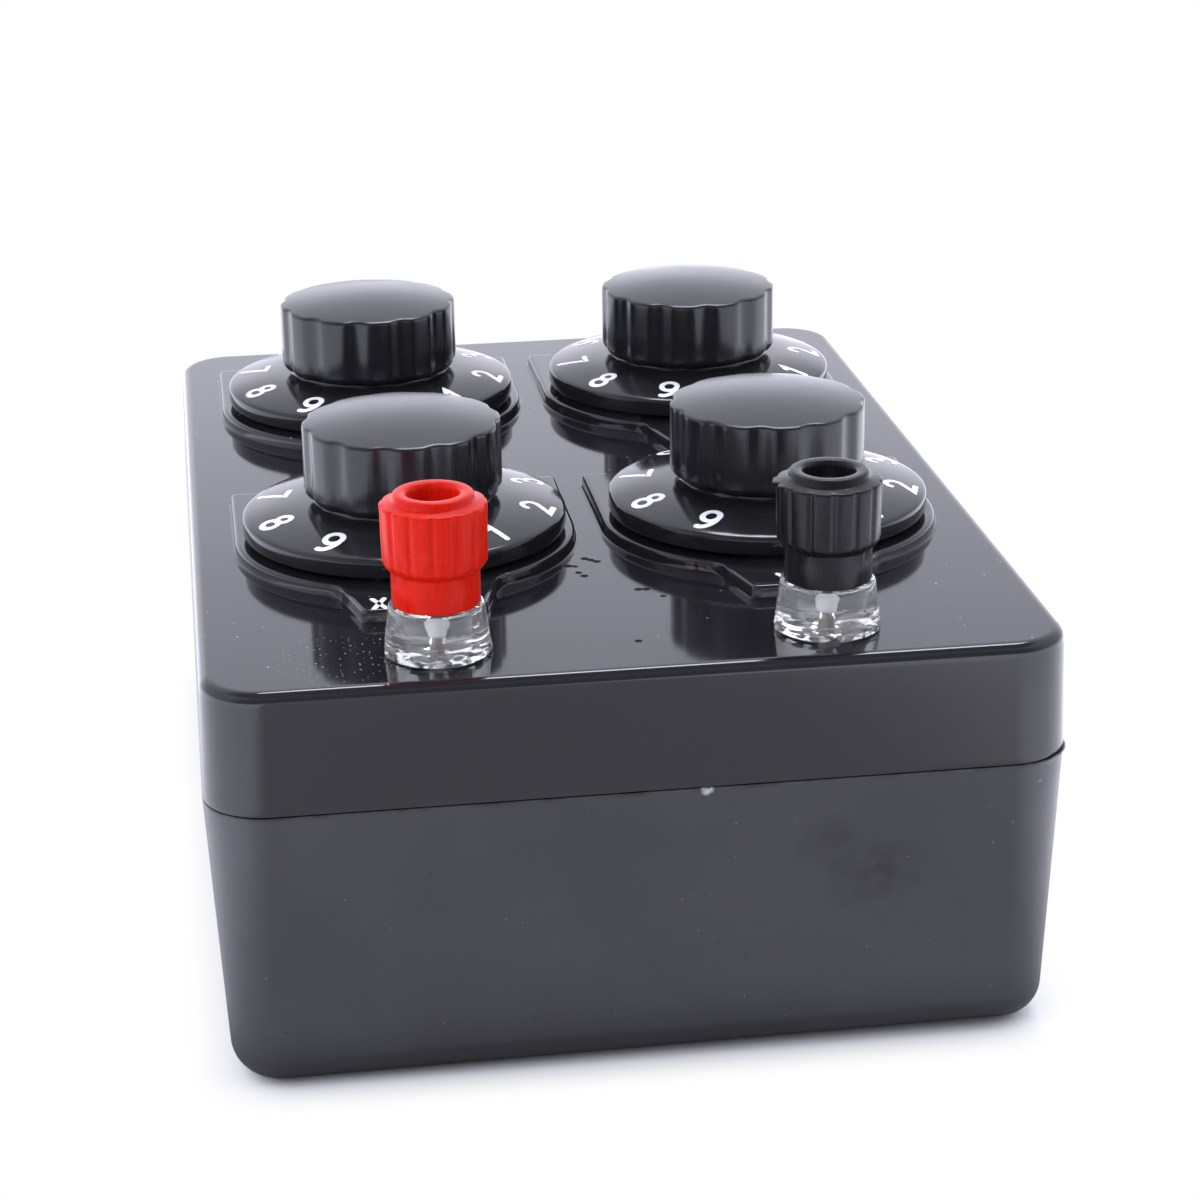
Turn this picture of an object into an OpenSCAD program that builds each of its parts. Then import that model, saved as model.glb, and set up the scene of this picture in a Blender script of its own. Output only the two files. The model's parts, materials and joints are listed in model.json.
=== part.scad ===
// Decade resistance box: four ten-step dials and two binding posts on a two-part moulded case.
// Millimetres. The origin is the middle of the case's underside, +Z is up, and the posts face -Y.

/* [Case] */
// Width of the case at the seam
case_w = 100; // [90:1:130]
// Depth of the case at the seam, front to back
case_d = 140; // [126:1:180]
// Height of the base, from the table to the seam
base_h = 35.4; // [34:0.2:60]
// Height of the lid's sides, from the seam to the top face
lid_h = 14.6; // [13.6:0.2:24]
// Wall of both mouldings
wall = 2.5; // [2:0.1:3]
// Corner radius at the seam, seen from above
corner_r = 7.5; // [7:0.5:10]
// Lean of each side of the base, from the seam to the foot
base_draft = 1.7; // [0.5:0.1:3]
// Lean of each side of the lid, from the seam to the top
lid_draft = 0.4; // [0.1:0.1:1]
// Round of the edge at the foot of the base
foot_round = 4.6; // [1:0.1:4.7]
// Round of the lid's top edge
lid_round = 1.4; // [0.5:0.1:2]
// Round of the corners inside both mouldings
inner_round = 1; // [0.6:0.1:1.6]
// Depth of the lid's locating tongue inside the base
tongue_h = 3; // [2:0.5:5]
// Thickness of the locating tongue
tongue_t = 1.2; // [0.8:0.1:1.6]
// Clearance between the tongue and the base
seam_fit = 0.15; // [0.1:0.05:0.3]

/* [Case screws] */
// Distance of each case screw from the case's sides
screw_inset = 10; // [9.5:0.5:14]
// Radius of the screw pillars
pillar_r = 4.4; // [4.2:0.1:5.5]
// Radius of the case screw's shank
screw_r = 1.45; // [1.2:0.05:1.8]
// Radius of the case screw's head
screw_head_r = 2.8; // [2.4:0.1:3.2]
// Height of the case screw's head
screw_head_h = 2.2; // [1.6:0.1:3]
// Length of the case screw's shank
screw_l = 15; // [12:0.5:17]
// Thickness of the pillar end that the screw head pulls on
pillar_end = 6; // [4:0.5:8]
// Clearance around a screw in its thread
screw_fit = 0.05; // [0.03:0.01:0.3]
// Clearance around a screw where it passes through freely
screw_gap = 0.2; // [0.1:0.05:0.4]
// Depth of each blind screw hole past the screw's end
hole_spare = 1; // [0.5:0.1:1.2]

/* [Dials] */
// Distance of the front pair of dials from the front of the case
dial_front_inset = 48.6; // [44:0.2:52]
// Distance of the back pair of dials from the back of the case
dial_back_inset = 33; // [30:0.2:40]
// Radius of the dial skirt
skirt_r = 20.1; // [17:0.1:21]
// Height of the skirt's rim
rim_h = 2.2; // [1.6:0.1:3]
// Rise of the skirt's face from the rim to the neck
skirt_rise = 1.2; // [0.8:0.1:2.5]
// Wall of the skirt, measured under its face
skirt_t = 1.5; // [1.2:0.1:2]
// Gap between the skirt and the plateau under it
skirt_gap = 0.7; // [0.4:0.1:1.5]
// Radius of the neck between skirt and knob
neck_r = 10.8; // [10.2:0.1:11.4]
// Height of the neck
neck_h = 1.1; // [0.6:0.1:2]
// Radius of the dial's hub inside the knob
hub_r = 5.6; // [5:0.1:6.4]
// Turn of each dial on its shaft: thousands, hundreds, tens, units
dial_turns = [3, 17, 0, 0]; // [0:1:36]

/* [Knobs] */
// Radius of the knob over its lobes
knob_r = 12.3; // [12:0.1:13.5]
// Height of the knob's fluted side
knob_h = 9.1; // [8.2:0.1:14]
// Rise of the knob's domed top
knob_dome = 1.3; // [0.5:0.1:2]
// Bevel of the knob's lower edge
knob_bevel = 0.6; // [0.3:0.1:0.9]
// Wall of the knob under its flutes, and of its top
knob_t = 1.9; // [1.6:0.1:2.4]
// Number of flutes round the knob
flute_n = 12; // [9:1:14]
// Radius of each flute
flute_r = 2.2; // [1.8:0.1:3]
// Depth of each flute
flute_d = 0.8; // [0.4:0.1:1]

/* [Plateaus] */
// Height of the raised plateau under each dial
plateau_h = 1.5; // [1:0.1:2.5]
// Margin of the plateau outside the dial skirt
plateau_margin = 1.1; // [0.5:0.1:1.4]
// Length of the plateau behind the dial's axis
plateau_back = 18.5; // [12:0.5:21]
// Reach of the label tab in front of the dial's axis
tab_reach = 28; // [25:0.5:30]
// Width of the label tab at its front edge
tab_front_w = 14.4; // [10:0.2:18]
// Width of the label tab where it leaves the plateau
tab_root_w = 19; // [15:0.2:24]

/* [Switches] */
// Radius of the dial shaft
shaft_r = 3; // [2.5:0.1:3.2]
// Depth of the flat at the top of the shaft
shaft_flat = 0.8; // [0.4:0.1:1.2]
// Running clearance of the shaft in its bush, on the radius
shaft_fit = 0.04; // [0.02:0.01:0.08]
// Clearance of pieces that are pushed onto the shaft or onto each other
push_fit = 0.02; // [0.01:0.01:0.05]
// Radius of the bush's thread
bush_r = 4.5; // [4.2:0.1:5]
// Radius of the bush's flange under the lid
flange_r = 7; // [6:0.1:8]
// Thickness of the bush's flange
flange_t = 2; // [1.5:0.1:3]
// Clearance of the bush in the lid
bush_fit = 0.1; // [0.05:0.05:0.3]
// Width of the bush nut across its flats
nut_af = 12; // [11.4:0.2:13.4]
// Thickness of the bush nut
nut_t = 2; // [1.5:0.1:2.2]
// Thread that stands above the bush nut
bush_proud = 0.3; // [0.1:0.1:0.6]
// Gap between pieces that turn past each other
run_gap = 0.3; // [0.2:0.05:0.4]
// Radius of the index plate
index_r = 8.2; // [7.4:0.1:9]
// Thickness of the index plate
index_t = 1.8; // [1.4:0.1:2.4]
// Radius of the notches in the index plate
notch_r = 1.5; // [1.2:0.1:1.7]
// Depth of the notches in the index plate
notch_d = 1.1; // [0.8:0.1:1.2]
// Thickness of the index spring's strip
spring_t = 0.4; // [0.3:0.05:0.6]
// Half of the index spring's length
spring_half = 10.6; // [10.2:0.1:12]
// Height of the index spring below the index plate
spring_over = 0.5; // [0.2:0.1:0.8]
// Clearance of the index spring in the slots of its posts
spring_fit = 0.1; // [0.05:0.05:0.2]
// Length of the spring posts below the index spring
spring_lip = 0.4; // [0.2:0.1:0.8]
// Distance of the spring posts from the dial's middle line
spring_post_x = 9; // [8.6:0.1:9.4]
// Radius of the spring posts
spring_post_r = 2.2; // [1.8:0.1:2.4]
// Gap between the index plate and the wiper
wiper_gap = 2.4; // [2:0.1:4]
// Thickness of the wiper's strip
wiper_t = 0.6; // [0.4:0.1:1]
// Width of the wiper's arms
wiper_w = 3.2; // [2.6:0.1:4]
// Radius of the wiper's hub ring
wiper_hub_r = 5.5; // [5:0.1:6]
// Radius of the wiper's contact tips
tip_r = 1.2; // [1:0.1:1.4]
// Gap between the wiper's strip and the contacts
tip_drop = 0.8; // [0.6:0.1:1.1]
// Running gap under the wiper's tips
tip_gap = 0.05; // [0.03:0.01:0.1]

/* [Contact boards] */
// Gap between the contact boards and the case's walls, left and right
board_room = 3; // [2.5:0.1:5]
// Gap between the contact boards of neighbouring dials
board_space = 3; // [1:0.1:5]
// Thickness of the contact board
board_t = 1.6; // [1.2:0.1:2.4]
// Radius of each stud's head
stud_head_r = 2; // [1.6:0.1:2.2]
// Height of the stud heads and of the collector ring
contact_h = 1.2; // [0.8:0.1:2]
// Radius of each stud's shank in the board
stud_shank_r = 1.2; // [1:0.05:1.5]
// Radius of each stud's solder tail
tail_r = 1; // [0.8:0.05:1.1]
// Length of the solder tails under the board
tail_l = 4.8; // [4.4:0.1:7]
// Radius of the middle of the collector ring
collector_r = 7.7; // [7.4:0.1:8.4]
// Width of the collector ring
collector_w = 3; // [2.4:0.1:3.4]
// Clearance of the contacts in the board
contact_fit = 0.05; // [0.03:0.01:0.1]
// Radius of the shaft's lower journal in the board
journal_r = 2; // [1.6:0.1:2.4]
// Distance of the board pillars from the edge of the board
board_pillar_edge = 2.5; // [2.4:0.1:3]
// Gap between the board pillars and the wiper's tips that pass them
pillar_gap = 0.4; // [0.3:0.1:1]
// Radius of the board pillars under the lid
board_pillar_r = 2.4; // [2.1:0.1:2.5]
// Radius of the board screw's shank
board_screw_r = 1.05; // [0.8:0.05:1.2]
// Length of the board screw's shank
board_screw_l = 6; // [4:0.5:8]
// Radius of the board screw's head
board_screw_head_r = 2; // [1.7:0.1:2.4]
// Height of the board screw's head
board_screw_head_h = 1.3; // [1:0.1:1.8]
// Radius of a resistor's end caps
resistor_r = 1.5; // [1.2:0.1:1.7]
// Length of a resistor's body
resistor_l = 5.2; // [4:0.1:5.6]
// Radius of a resistor's leads
lead_r = 0.35; // [0.25:0.05:0.5]
// Height of the resistors above the ends of the solder tails
resistor_lift = 0.2; // [0:0.1:0.4]
// Radius of the retaining clip on the shaft's end
clip_r = 3.6; // [3:0.1:4.2]
// Thickness of the retaining clip
clip_t = 0.8; // [0.6:0.1:1.2]
// Depth of the clip's groove in the shaft
clip_bite = 0.4; // [0.3:0.05:0.6]
// Length of the shaft below its clip
shaft_end = 0.6; // [0.4:0.1:1]

/* [Binding posts] */
// Distance of the posts inwards from the middle of the dials behind them
post_shift = 0.5; // [0:0.1:4]
// Distance of the posts from the front of the case
post_inset = 10.5; // [10:0.1:13]
// Radius of the clear base at its foot
clear_foot_r = 6; // [5.6:0.1:7]
// Radius of the clear base at its top
clear_top_r = 5.5; // [5.2:0.1:6.4]
// Height of the clear base
clear_h = 5.9; // [4.5:0.1:8]
// Height of the bead round the foot of the clear base
bead_h = 1; // [0.6:0.1:1.6]
// Amount by which the bead stands out
bead_d = 0.2; // [0.1:0.05:0.4]
// Radius of the stud's thread
stud_r = 2.8; // [2.6:0.05:3]
// Radius of the stud's conical collar at its top
collar_r = 4; // [3.6:0.1:4.4]
// Height of the stud's conical collar
collar_t = 2.4; // [1.4:0.1:3]
// Depth of the collar below the top of the clear base
collar_sink = 0.1; // [0.05:0.05:0.3]
// Height of the stud above the clear base
stud_h = 10; // [8:0.1:10.4]
// Radius of the plug socket in the stud
socket_r = 2.02; // [2:0.01:2.1]
// Depth of the plug socket
socket_l = 16; // [12:0.5:17]
// Radius of the wire hole across the stud
wire_hole_r = 0.9; // [0.6:0.05:1.1]
// Clearance of the stud in its fittings
stud_fit = 0.05; // [0.03:0.01:0.1]
// Gap between the clear base and the cap above it
cap_gap = 0.1; // [0.1:0.05:0.4]
// Radius of the cap's plain lower part
cap_r = 5.05; // [4.9:0.05:5.5]
// Height of the cap's plain lower part
cap_low_h = 5; // [4:0.1:6]
// Radius of the cap over its lobes
lobe_r = 6.05; // [5.8:0.05:6.6]
// Height of the cap's lobed part
lobe_h = 6.5; // [5:0.1:8]
// Number of lobes round the cap
lobe_n = 14; // [8:1:16]
// Width of the grooves between the lobes
groove_w = 0.9; // [0.6:0.1:1.2]
// Depth of the grooves between the lobes
groove_d = 0.7; // [0.4:0.1:0.9]
// Radius of the raised ring on the cap
ring_r = 4.4; // [4.2:0.1:4.8]
// Height of the raised ring
ring_h = 1.5; // [1:0.1:2]
// Radius of the hole in the cap's top
mouth_r = 2.95; // [2.85:0.05:3.2]
// Radius of the threaded insert in the cap
insert_r = 3.8; // [3.6:0.1:4]
// Height of the threaded insert
insert_h = 6; // [4:0.1:6.4]
// Thickness of the solder lug
lug_t = 0.8; // [0.5:0.1:1.2]
// Radius of the solder lug's ring
lug_r = 4.6; // [4.2:0.1:5]
// Reach of the solder lug behind the post
lug_reach = 9; // [8:0.5:12]
// Width of the post nut across its flats
post_nut_af = 9; // [8:0.2:9.6]
// Thickness of the post nut
post_nut_t = 3; // [2.4:0.1:4]
// Thread that stands below the post nut
stud_proud = 2; // [1:0.5:3]

/* [Wiring] */
// Radius of the link wires
wire_r = 0.6; // [0.4:0.05:0.7]
// Height of the highest link wire's run
wire_top = 28; // [27:0.5:29]
// Step down from one wire's run to the next
wire_step = 2; // [1.6:0.1:2.4]
// Swell of a link wire at its bends
bend_swell = 1.06; // [1.02:0.01:1.2]
// Gap at each soldered wire end and lead end
solder_gap = 0.05; // [0.02:0.01:0.1]

/* [Hidden] */
DECADES = ["thousands", "hundreds", "tens", "units"];
TURNING = ["dial", "knob", "shaft", "clip", "index_plate", "wiper"];
FIXED = ["bush", "index_spring", "board", "contacts", "resistors"];
POSTS = ["red", "black"];
POST_PIECES = ["cap", "insert", "stud", "clear_base"];
CAP_TINTS = ["#e1321e", "#1b1a1e"];
SHARED = ["base_box", "lid", "case_screws", "board_screws",
    "bush_nuts", "post_nuts", "post_lugs", "link_wires"];
$fn = 64;

steps = 10;
step_angle = 360 / steps;
cut = 1;

lid_top = base_h + lid_h;
lid_under = lid_top - wall;
plateau_top = lid_top + plateau_h;
plateau_r = skirt_r + plateau_margin;
corner_x = case_w / 2 - corner_r;
corner_y = case_d / 2 - corner_r;
screw_x = case_w / 2 - screw_inset;
screw_y = case_d / 2 - screw_inset;
screw_seat = base_h - pillar_end;
tongue_out = base_corner(base_h - tongue_h) - wall - seam_fit;
tongue_in = tongue_out - tongue_t;

room_w = (case_w / 2 - wall - board_room - board_space / 2) / 2;
room_d = (case_d - dial_front_inset - dial_back_inset - board_space) / 2;
board_r = min(room_w, room_d);
board_pillar_x = board_r - board_pillar_edge;
stud_ring_r = board_pillar_x - board_pillar_r - pillar_gap - tip_r;
dial_x = board_space / 2 + room_w;
dial_front = case_d / 2 - dial_front_inset;
dial_back = case_d / 2 - dial_back_inset;
post_x = dial_x - post_shift;
post_front = case_d / 2 - post_inset;

DIAL_PLACES = [[-dial_x, dial_back], [dial_x, dial_back], [-dial_x, -dial_front], [dial_x, -dial_front]];
POST_PLACES = [[-post_x, -post_front], [post_x, -post_front]];

nut_top = plateau_top + nut_t;
bush_top = nut_top + bush_proud;
rim_foot = plateau_top + skirt_gap;
rim_top = rim_foot + rim_h;
neck_foot = rim_top + skirt_rise;
neck_top = neck_foot + neck_h;
hub_foot = bush_top + run_gap;
nut_room_r = nut_af / 2 / cos(30) + 2 * run_gap;
knob_foot = neck_top + push_fit;
knob_shoulder = knob_foot + knob_h;
hub_top = knob_shoulder - knob_t;
shaft_top = hub_top - run_gap;

index_top = lid_under - flange_t - run_gap;
index_foot = index_top - index_t;
notch_x = index_r + notch_r - notch_d;
nose_r = notch_r - run_gap;
spring_y = notch_x + nose_r - spring_t;
spring_foot = index_foot - spring_over;
wiper_top = index_foot - wiper_gap;
wiper_foot = wiper_top - wiper_t;
contact_top = wiper_foot - tip_drop;
board_top = contact_top - contact_h;
board_foot = board_top - board_t;
tail_foot = board_foot - tail_l;
clip_top = board_foot - run_gap;
clip_groove_r = journal_r - clip_bite;
shaft_foot = clip_top - clip_t - shaft_end;
lead_z = tail_foot + resistor_r + resistor_lift;

clear_top = lid_top + clear_h;
collar_top = clear_top - collar_sink;
collar_foot = collar_top - collar_t;
stud_top = clear_top + stud_h;
nut_seat = lid_under - lug_t;
stud_foot = nut_seat - post_nut_t - stud_proud;
cap_foot = clear_top + cap_gap;
lobe_foot = cap_foot + cap_low_h;
lobe_top = lobe_foot + lobe_h;
cap_top = lobe_top + ring_h;
insert_foot = cap_foot + run_gap;
insert_top = insert_foot + insert_h;

// Corner radius of the base's outside at height z
function base_corner(z) = corner_r - base_draft * (1 - z / base_h);

// Corner radius of the lid's outside at height z
function lid_corner(z) = corner_r - lid_draft * (z - base_h) / lid_h;

// Half section of a leaning side, with its foot rounded
module side_section(r_foot, r_top, h, round_r) {
    lean = r_top - r_foot;
    slope = sqrt(lean * lean + h * h);
    round_x = r_foot - round_r * (slope - lean) / h;
    out = [h / slope, -lean / slope];
    past = [round_x, round_r] + (round_r + cut) * out;
    difference() {
        polygon([[0, 0], [r_foot, 0], [r_top, h], [0, h]]);
        difference() {
            polygon([[round_x, round_r], [round_x, -cut], [past[0], -cut], past]);
            translate([round_x, round_r]) circle(round_r);
        }
    }
}

// Block with round corners whose sides follow the half section that is its child
module round_block(h) {
    for (i = [0 : 3]) {
        x = i == 0 || i == 3 ? corner_x : -corner_x;
        y = i < 2 ? corner_y : -corner_y;
        translate([x, y, 0]) rotate(90 * i) rotate_extrude(angle = 90) children();
    }
    for (a = [0, 180]) {
        rotate(a) translate([corner_x, corner_y, 0]) rotate([90, 0, 0])
            linear_extrude(2 * corner_y) children();
        rotate(a + 90) translate([corner_y, corner_x, 0]) rotate([90, 0, 0])
            linear_extrude(2 * corner_x) children();
    }
    translate([-corner_x, -corner_y, 0]) cube([2 * corner_x, 2 * corner_y, h]);
}

// Upright block with corner radius r, from height z0 to z1
module plain_block(r, z0, z1) {
    translate([0, 0, z0]) round_block(z1 - z0) square([r, z1 - z0]);
}

module tube(r_out, r_in, z0, z1) {
    difference() {
        translate([0, 0, z0]) cylinder(r = r_out, h = z1 - z0);
        translate([0, 0, z0 - cut]) cylinder(r = r_in, h = z1 - z0 + 2 * cut);
    }
}

module rod(r, z0, z1) {
    translate([0, 0, z0]) cylinder(r = r, h = z1 - z0);
}

module hex_nut(af, r_in, z0, z1) {
    difference() {
        translate([0, 0, z0]) cylinder(r = af / 2 / cos(30), h = z1 - z0, $fn = 6);
        rod(r_in, z0 - cut, z1 + cut);
    }
}

module pan_screw(r, l, head_r, head_h, seat) {
    slot_w = head_r / 3;
    rod(r, seat, seat + l);
    difference() {
        rod(head_r, seat - head_h, seat);
        translate([-head_r - cut, -slot_w / 2, seat - head_h - cut])
            cube([2 * (head_r + cut), slot_w, head_h / 2 + cut]);
    }
}

module at_case_screws() {
    for (x = [-screw_x, screw_x], y = [-screw_y, screw_y]) translate([x, y, 0]) children();
}

module at_dials() {
    for (p = DIAL_PLACES) translate(p) children();
}

module at_posts() {
    for (p = POST_PLACES) translate(p) children();
}

module at_board_pillars() {
    for (s = [-1, 1]) translate([s * board_pillar_x, 0, 0]) children();
}

module at_studs() {
    for (i = [0 : steps - 1]) rotate(i * step_angle) translate([0, -stud_ring_r, 0]) children();
}

// Case

module base_shell() {
    difference() {
        round_block(base_h) side_section(base_corner(0), corner_r, base_h, foot_round);
        translate([0, 0, wall]) round_block(base_h - wall + cut)
            side_section(base_corner(wall) - wall, base_corner(base_h + cut) - wall, base_h - wall + cut,
                inner_round);
    }
}

module base_box() {
    color("#4c4a51") difference() {
        union() {
            base_shell();
            difference() {
                at_case_screws() rod(pillar_r, wall / 2, base_h - seam_fit);
                difference() {
                    plain_block(corner_r, base_h - tongue_h - seam_fit, base_h + cut);
                    plain_block(tongue_in - seam_fit, base_h - tongue_h - cut, base_h + 2 * cut);
                }
            }
        }
        at_case_screws() {
            rod(screw_r + screw_gap, -cut, base_h + cut);
            rod(screw_head_r + screw_gap, -cut, screw_seat);
        }
    }
}

module plateau_outline() {
    circle(plateau_r);
    translate([-plateau_r, 0]) square([2 * plateau_r, plateau_back]);
    tab_y = sqrt(plateau_r * plateau_r - tab_root_w * tab_root_w / 4);
    polygon([[-tab_root_w / 2, -tab_y], [-tab_front_w / 2, -tab_reach],
        [tab_front_w / 2, -tab_reach], [tab_root_w / 2, -tab_y]]);
}

module lid_shell() {
    difference() {
        translate([0, 0, lid_top]) mirror([0, 0, 1]) round_block(lid_h)
            side_section(lid_corner(lid_top), corner_r, lid_h, lid_round);
        translate([0, 0, lid_under]) mirror([0, 0, 1]) round_block(lid_h - wall + cut)
            side_section(lid_corner(lid_under) - wall, lid_corner(base_h - cut) - wall, lid_h - wall + cut,
                inner_round);
    }
    difference() {
        union() {
            plain_block(tongue_out, base_h - tongue_h, base_h + tongue_h);
            plain_block(corner_r - wall / 2, base_h, base_h + tongue_h);
        }
        plain_block(tongue_in, base_h - tongue_h - cut, base_h + tongue_h + cut);
    }
    at_dials() translate([0, 0, lid_under]) linear_extrude(plateau_top - lid_under) plateau_outline();
}

module spring_post() {
    difference() {
        rod(spring_post_r, spring_foot - spring_lip, lid_under + cut);
        translate([-spring_half, -spring_t / 2 - spring_fit, spring_foot - cut])
            cube([2 * spring_half, spring_t + 2 * spring_fit, index_top + spring_fit - spring_foot + cut]);
    }
}

module lid() {
    color("#403e42") difference() {
        union() {
            lid_shell();
            at_case_screws() rod(pillar_r, base_h, lid_under + cut);
            at_dials() at_board_pillars() rod(board_pillar_r, board_top, lid_under + cut);
            at_dials() for (s = [-1, 1])
                translate([s * spring_post_x, spring_y + spring_t / 2, 0]) spring_post();
        }
        at_case_screws() rod(screw_r + screw_fit, base_h - cut, screw_seat + screw_l + hole_spare);
        at_dials() at_board_pillars()
            rod(board_screw_r + screw_fit, board_top - cut, board_foot + board_screw_l + hole_spare);
        at_dials() rod(bush_r + bush_fit, lid_under - cut, plateau_top + cut);
        at_posts() rod(stud_r + stud_fit, lid_under - cut, lid_top + cut);
    }
}

module case_screws() {
    color("#9a9a9e") at_case_screws() pan_screw(screw_r, screw_l, screw_head_r, screw_head_h, screw_seat);
}

// Dial and knob

module d_section(r) {
    difference() {
        circle(r);
        translate([-r - cut, r - shaft_flat]) square(2 * (r + cut));
    }
}

module dial() {
    rim_round = 0.4;
    color("#17161a") difference() {
        union() {
            rotate_extrude() difference() {
                polygon([[0, rim_foot], [skirt_r, rim_foot], [skirt_r, rim_top - rim_round],
                    [skirt_r - rim_round, rim_top], [neck_r, neck_foot], [neck_r, neck_top],
                    [0, neck_top]]);
                polygon([[0, rim_foot - cut], [skirt_r - skirt_t, rim_foot - cut],
                    [skirt_r - skirt_t, rim_top - skirt_t], [nut_room_r, neck_foot - skirt_t],
                    [nut_room_r, hub_foot], [0, hub_foot]]);
            }
            rod(hub_r, hub_foot, hub_top);
        }
        translate([0, 0, hub_foot - cut]) linear_extrude(hub_top - hub_foot + 2 * cut)
            d_section(shaft_r + push_fit);
    }
}

module knob_body() {
    dome_r = (knob_r * knob_r + knob_dome * knob_dome) / (2 * knob_dome);
    intersection() {
        rotate_extrude() polygon([[0, knob_foot], [knob_r - knob_bevel, knob_foot],
            [knob_r, knob_foot + knob_bevel], [knob_r, knob_shoulder + knob_dome],
            [0, knob_shoulder + knob_dome]]);
        translate([0, 0, knob_shoulder + knob_dome - dome_r]) sphere(dome_r);
    }
}

module knob() {
    rib_r = hub_r + knob_t;
    color("#141317") difference() {
        knob_body();
        for (i = [0 : flute_n - 1]) rotate((i + 0.5) * 360 / flute_n)
            translate([knob_r + flute_r - flute_d, 0, 0])
                rod(flute_r, knob_foot - cut, knob_shoulder + knob_dome + cut);
        rod(hub_r + push_fit, knob_foot - cut, hub_top + push_fit);
        tube(knob_r - flute_d - knob_t, rib_r, knob_foot - cut, hub_top);
    }
}

// Switch under each dial

module shaft() {
    shoulder = board_top + run_gap;
    color("#b9bbbe") {
        difference() {
            union() {
                rod(shaft_r, shoulder, hub_foot);
                rod(journal_r, shaft_foot, shoulder + cut);
            }
            tube(journal_r + cut, clip_groove_r, clip_top - clip_t - push_fit, clip_top + push_fit);
        }
        translate([0, 0, hub_foot]) linear_extrude(shaft_top - hub_foot) d_section(shaft_r);
    }
}

module clip() {
    color("#6f7074") difference() {
        tube(clip_r, clip_groove_r + push_fit, clip_top - clip_t, clip_top);
        translate([0, -clip_groove_r, clip_top - clip_t - cut])
            cube([clip_r + cut, 2 * clip_groove_r, clip_t + 2 * cut]);
    }
}

module index_plate() {
    color("#c9c2a4") translate([0, 0, index_foot]) linear_extrude(index_t) difference() {
        circle(index_r);
        circle(shaft_r + push_fit);
        for (i = [0 : steps - 1]) rotate(i * step_angle) translate([0, notch_x]) circle(notch_r);
    }
}

module index_spring() {
    color("#a9abb0") translate([0, 0, spring_foot]) linear_extrude(index_top - spring_foot) {
        translate([-spring_half, spring_y]) square([2 * spring_half, spring_t]);
        translate([0, notch_x]) circle(nose_r);
    }
}

module wiper() {
    reach = stud_ring_r + tip_r / 2;
    color("#c98f4a") {
        difference() {
            union() {
                rod(wiper_hub_r, wiper_foot, wiper_top);
                translate([-wiper_w / 2, -reach, wiper_foot]) cube([wiper_w, reach, wiper_t]);
                translate([-wiper_w / 2, 0, wiper_foot]) cube([wiper_w, collector_r + tip_r, wiper_t]);
            }
            rod(shaft_r + push_fit, wiper_foot - cut, wiper_top + cut);
        }
        for (y = [-stud_ring_r, collector_r])
            translate([0, y, contact_top + tip_gap + tip_r]) sphere(tip_r);
    }
}

module bush() {
    color("#b08d4f") difference() {
        union() {
            rod(flange_r, lid_under - flange_t, lid_under);
            rod(bush_r, lid_under - flange_t / 2, bush_top);
        }
        rod(shaft_r + shaft_fit, lid_under - flange_t - cut, bush_top + cut);
    }
}

module bush_nuts() {
    color("#b9bbbe") at_dials() hex_nut(nut_af, bush_r + screw_fit, plateau_top, nut_top);
}

module board() {
    color("#7a4a24") difference() {
        rod(board_r, board_foot, board_top);
        rod(journal_r + shaft_fit, board_foot - cut, board_top + cut);
        at_studs() rod(stud_shank_r + contact_fit, board_foot - cut, board_top + cut);
        translate([collector_r, 0, 0]) rod(tail_r + contact_fit, board_foot - cut, board_top + cut);
        at_board_pillars() rod(board_screw_r + screw_gap, board_foot - cut, board_top + cut);
    }
}

module contacts() {
    color("#c8a45a") {
        at_studs() {
            rod(stud_head_r, board_top, contact_top);
            rod(stud_shank_r, board_foot, board_top + contact_h / 2);
            rod(tail_r, tail_foot, board_foot + board_t / 2);
        }
        tube(collector_r + collector_w / 2, collector_r - collector_w / 2, board_top, contact_top);
        translate([collector_r, 0, 0]) rod(tail_r, tail_foot, board_top + contact_h / 2);
    }
}

module resistor(span) {
    waist = 0.2;
    band = 1.1;
    half = resistor_l / 2;
    rotate([0, 90, 0]) rotate_extrude() polygon([[0, -span / 2], [lead_r, -span / 2], [lead_r, -half],
        [resistor_r, -half], [resistor_r, band - half], [resistor_r - waist, band - half + waist],
        [resistor_r - waist, half - band - waist], [resistor_r, half - band], [resistor_r, half],
        [lead_r, half], [lead_r, span / 2], [0, span / 2]]);
}

// One resistor between each stud and the next, with none between nine and nought
module resistors() {
    span = 2 * (stud_ring_r * sin(step_angle / 2) - tail_r / cos(step_angle / 2) - solder_gap);
    color("#b8a27c") for (i = [0 : steps - 2]) rotate((i + 0.5) * step_angle)
        translate([0, -stud_ring_r * cos(step_angle / 2), lead_z]) resistor(span);
}

module board_screws() {
    color("#9a9a9e") at_dials() at_board_pillars()
        pan_screw(board_screw_r, board_screw_l, board_screw_head_r, board_screw_head_h, board_foot);
}

// Binding posts

module cap(tint) {
    edge = 0.5;
    hollow_r = insert_r + stud_fit;
    color(tint) difference() {
        rotate_extrude() polygon([[mouth_r, cap_foot], [cap_r, cap_foot], [cap_r, lobe_foot],
            [lobe_r, lobe_foot], [lobe_r, lobe_top - edge], [lobe_r - edge, lobe_top], [ring_r, lobe_top],
            [ring_r - edge, cap_top], [mouth_r + edge, cap_top], [mouth_r, cap_top - edge]]);
        for (i = [0 : lobe_n - 1]) rotate((i + 0.5) * 360 / lobe_n) translate([0, 0, lobe_foot - cut])
            linear_extrude(lobe_h + 2 * cut) polygon([[lobe_r - groove_d, 0],
                [lobe_r + groove_d, -groove_w], [lobe_r + groove_d, groove_w]]);
        rod(hollow_r, cap_foot - cut, insert_top + run_gap);
    }
}

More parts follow.
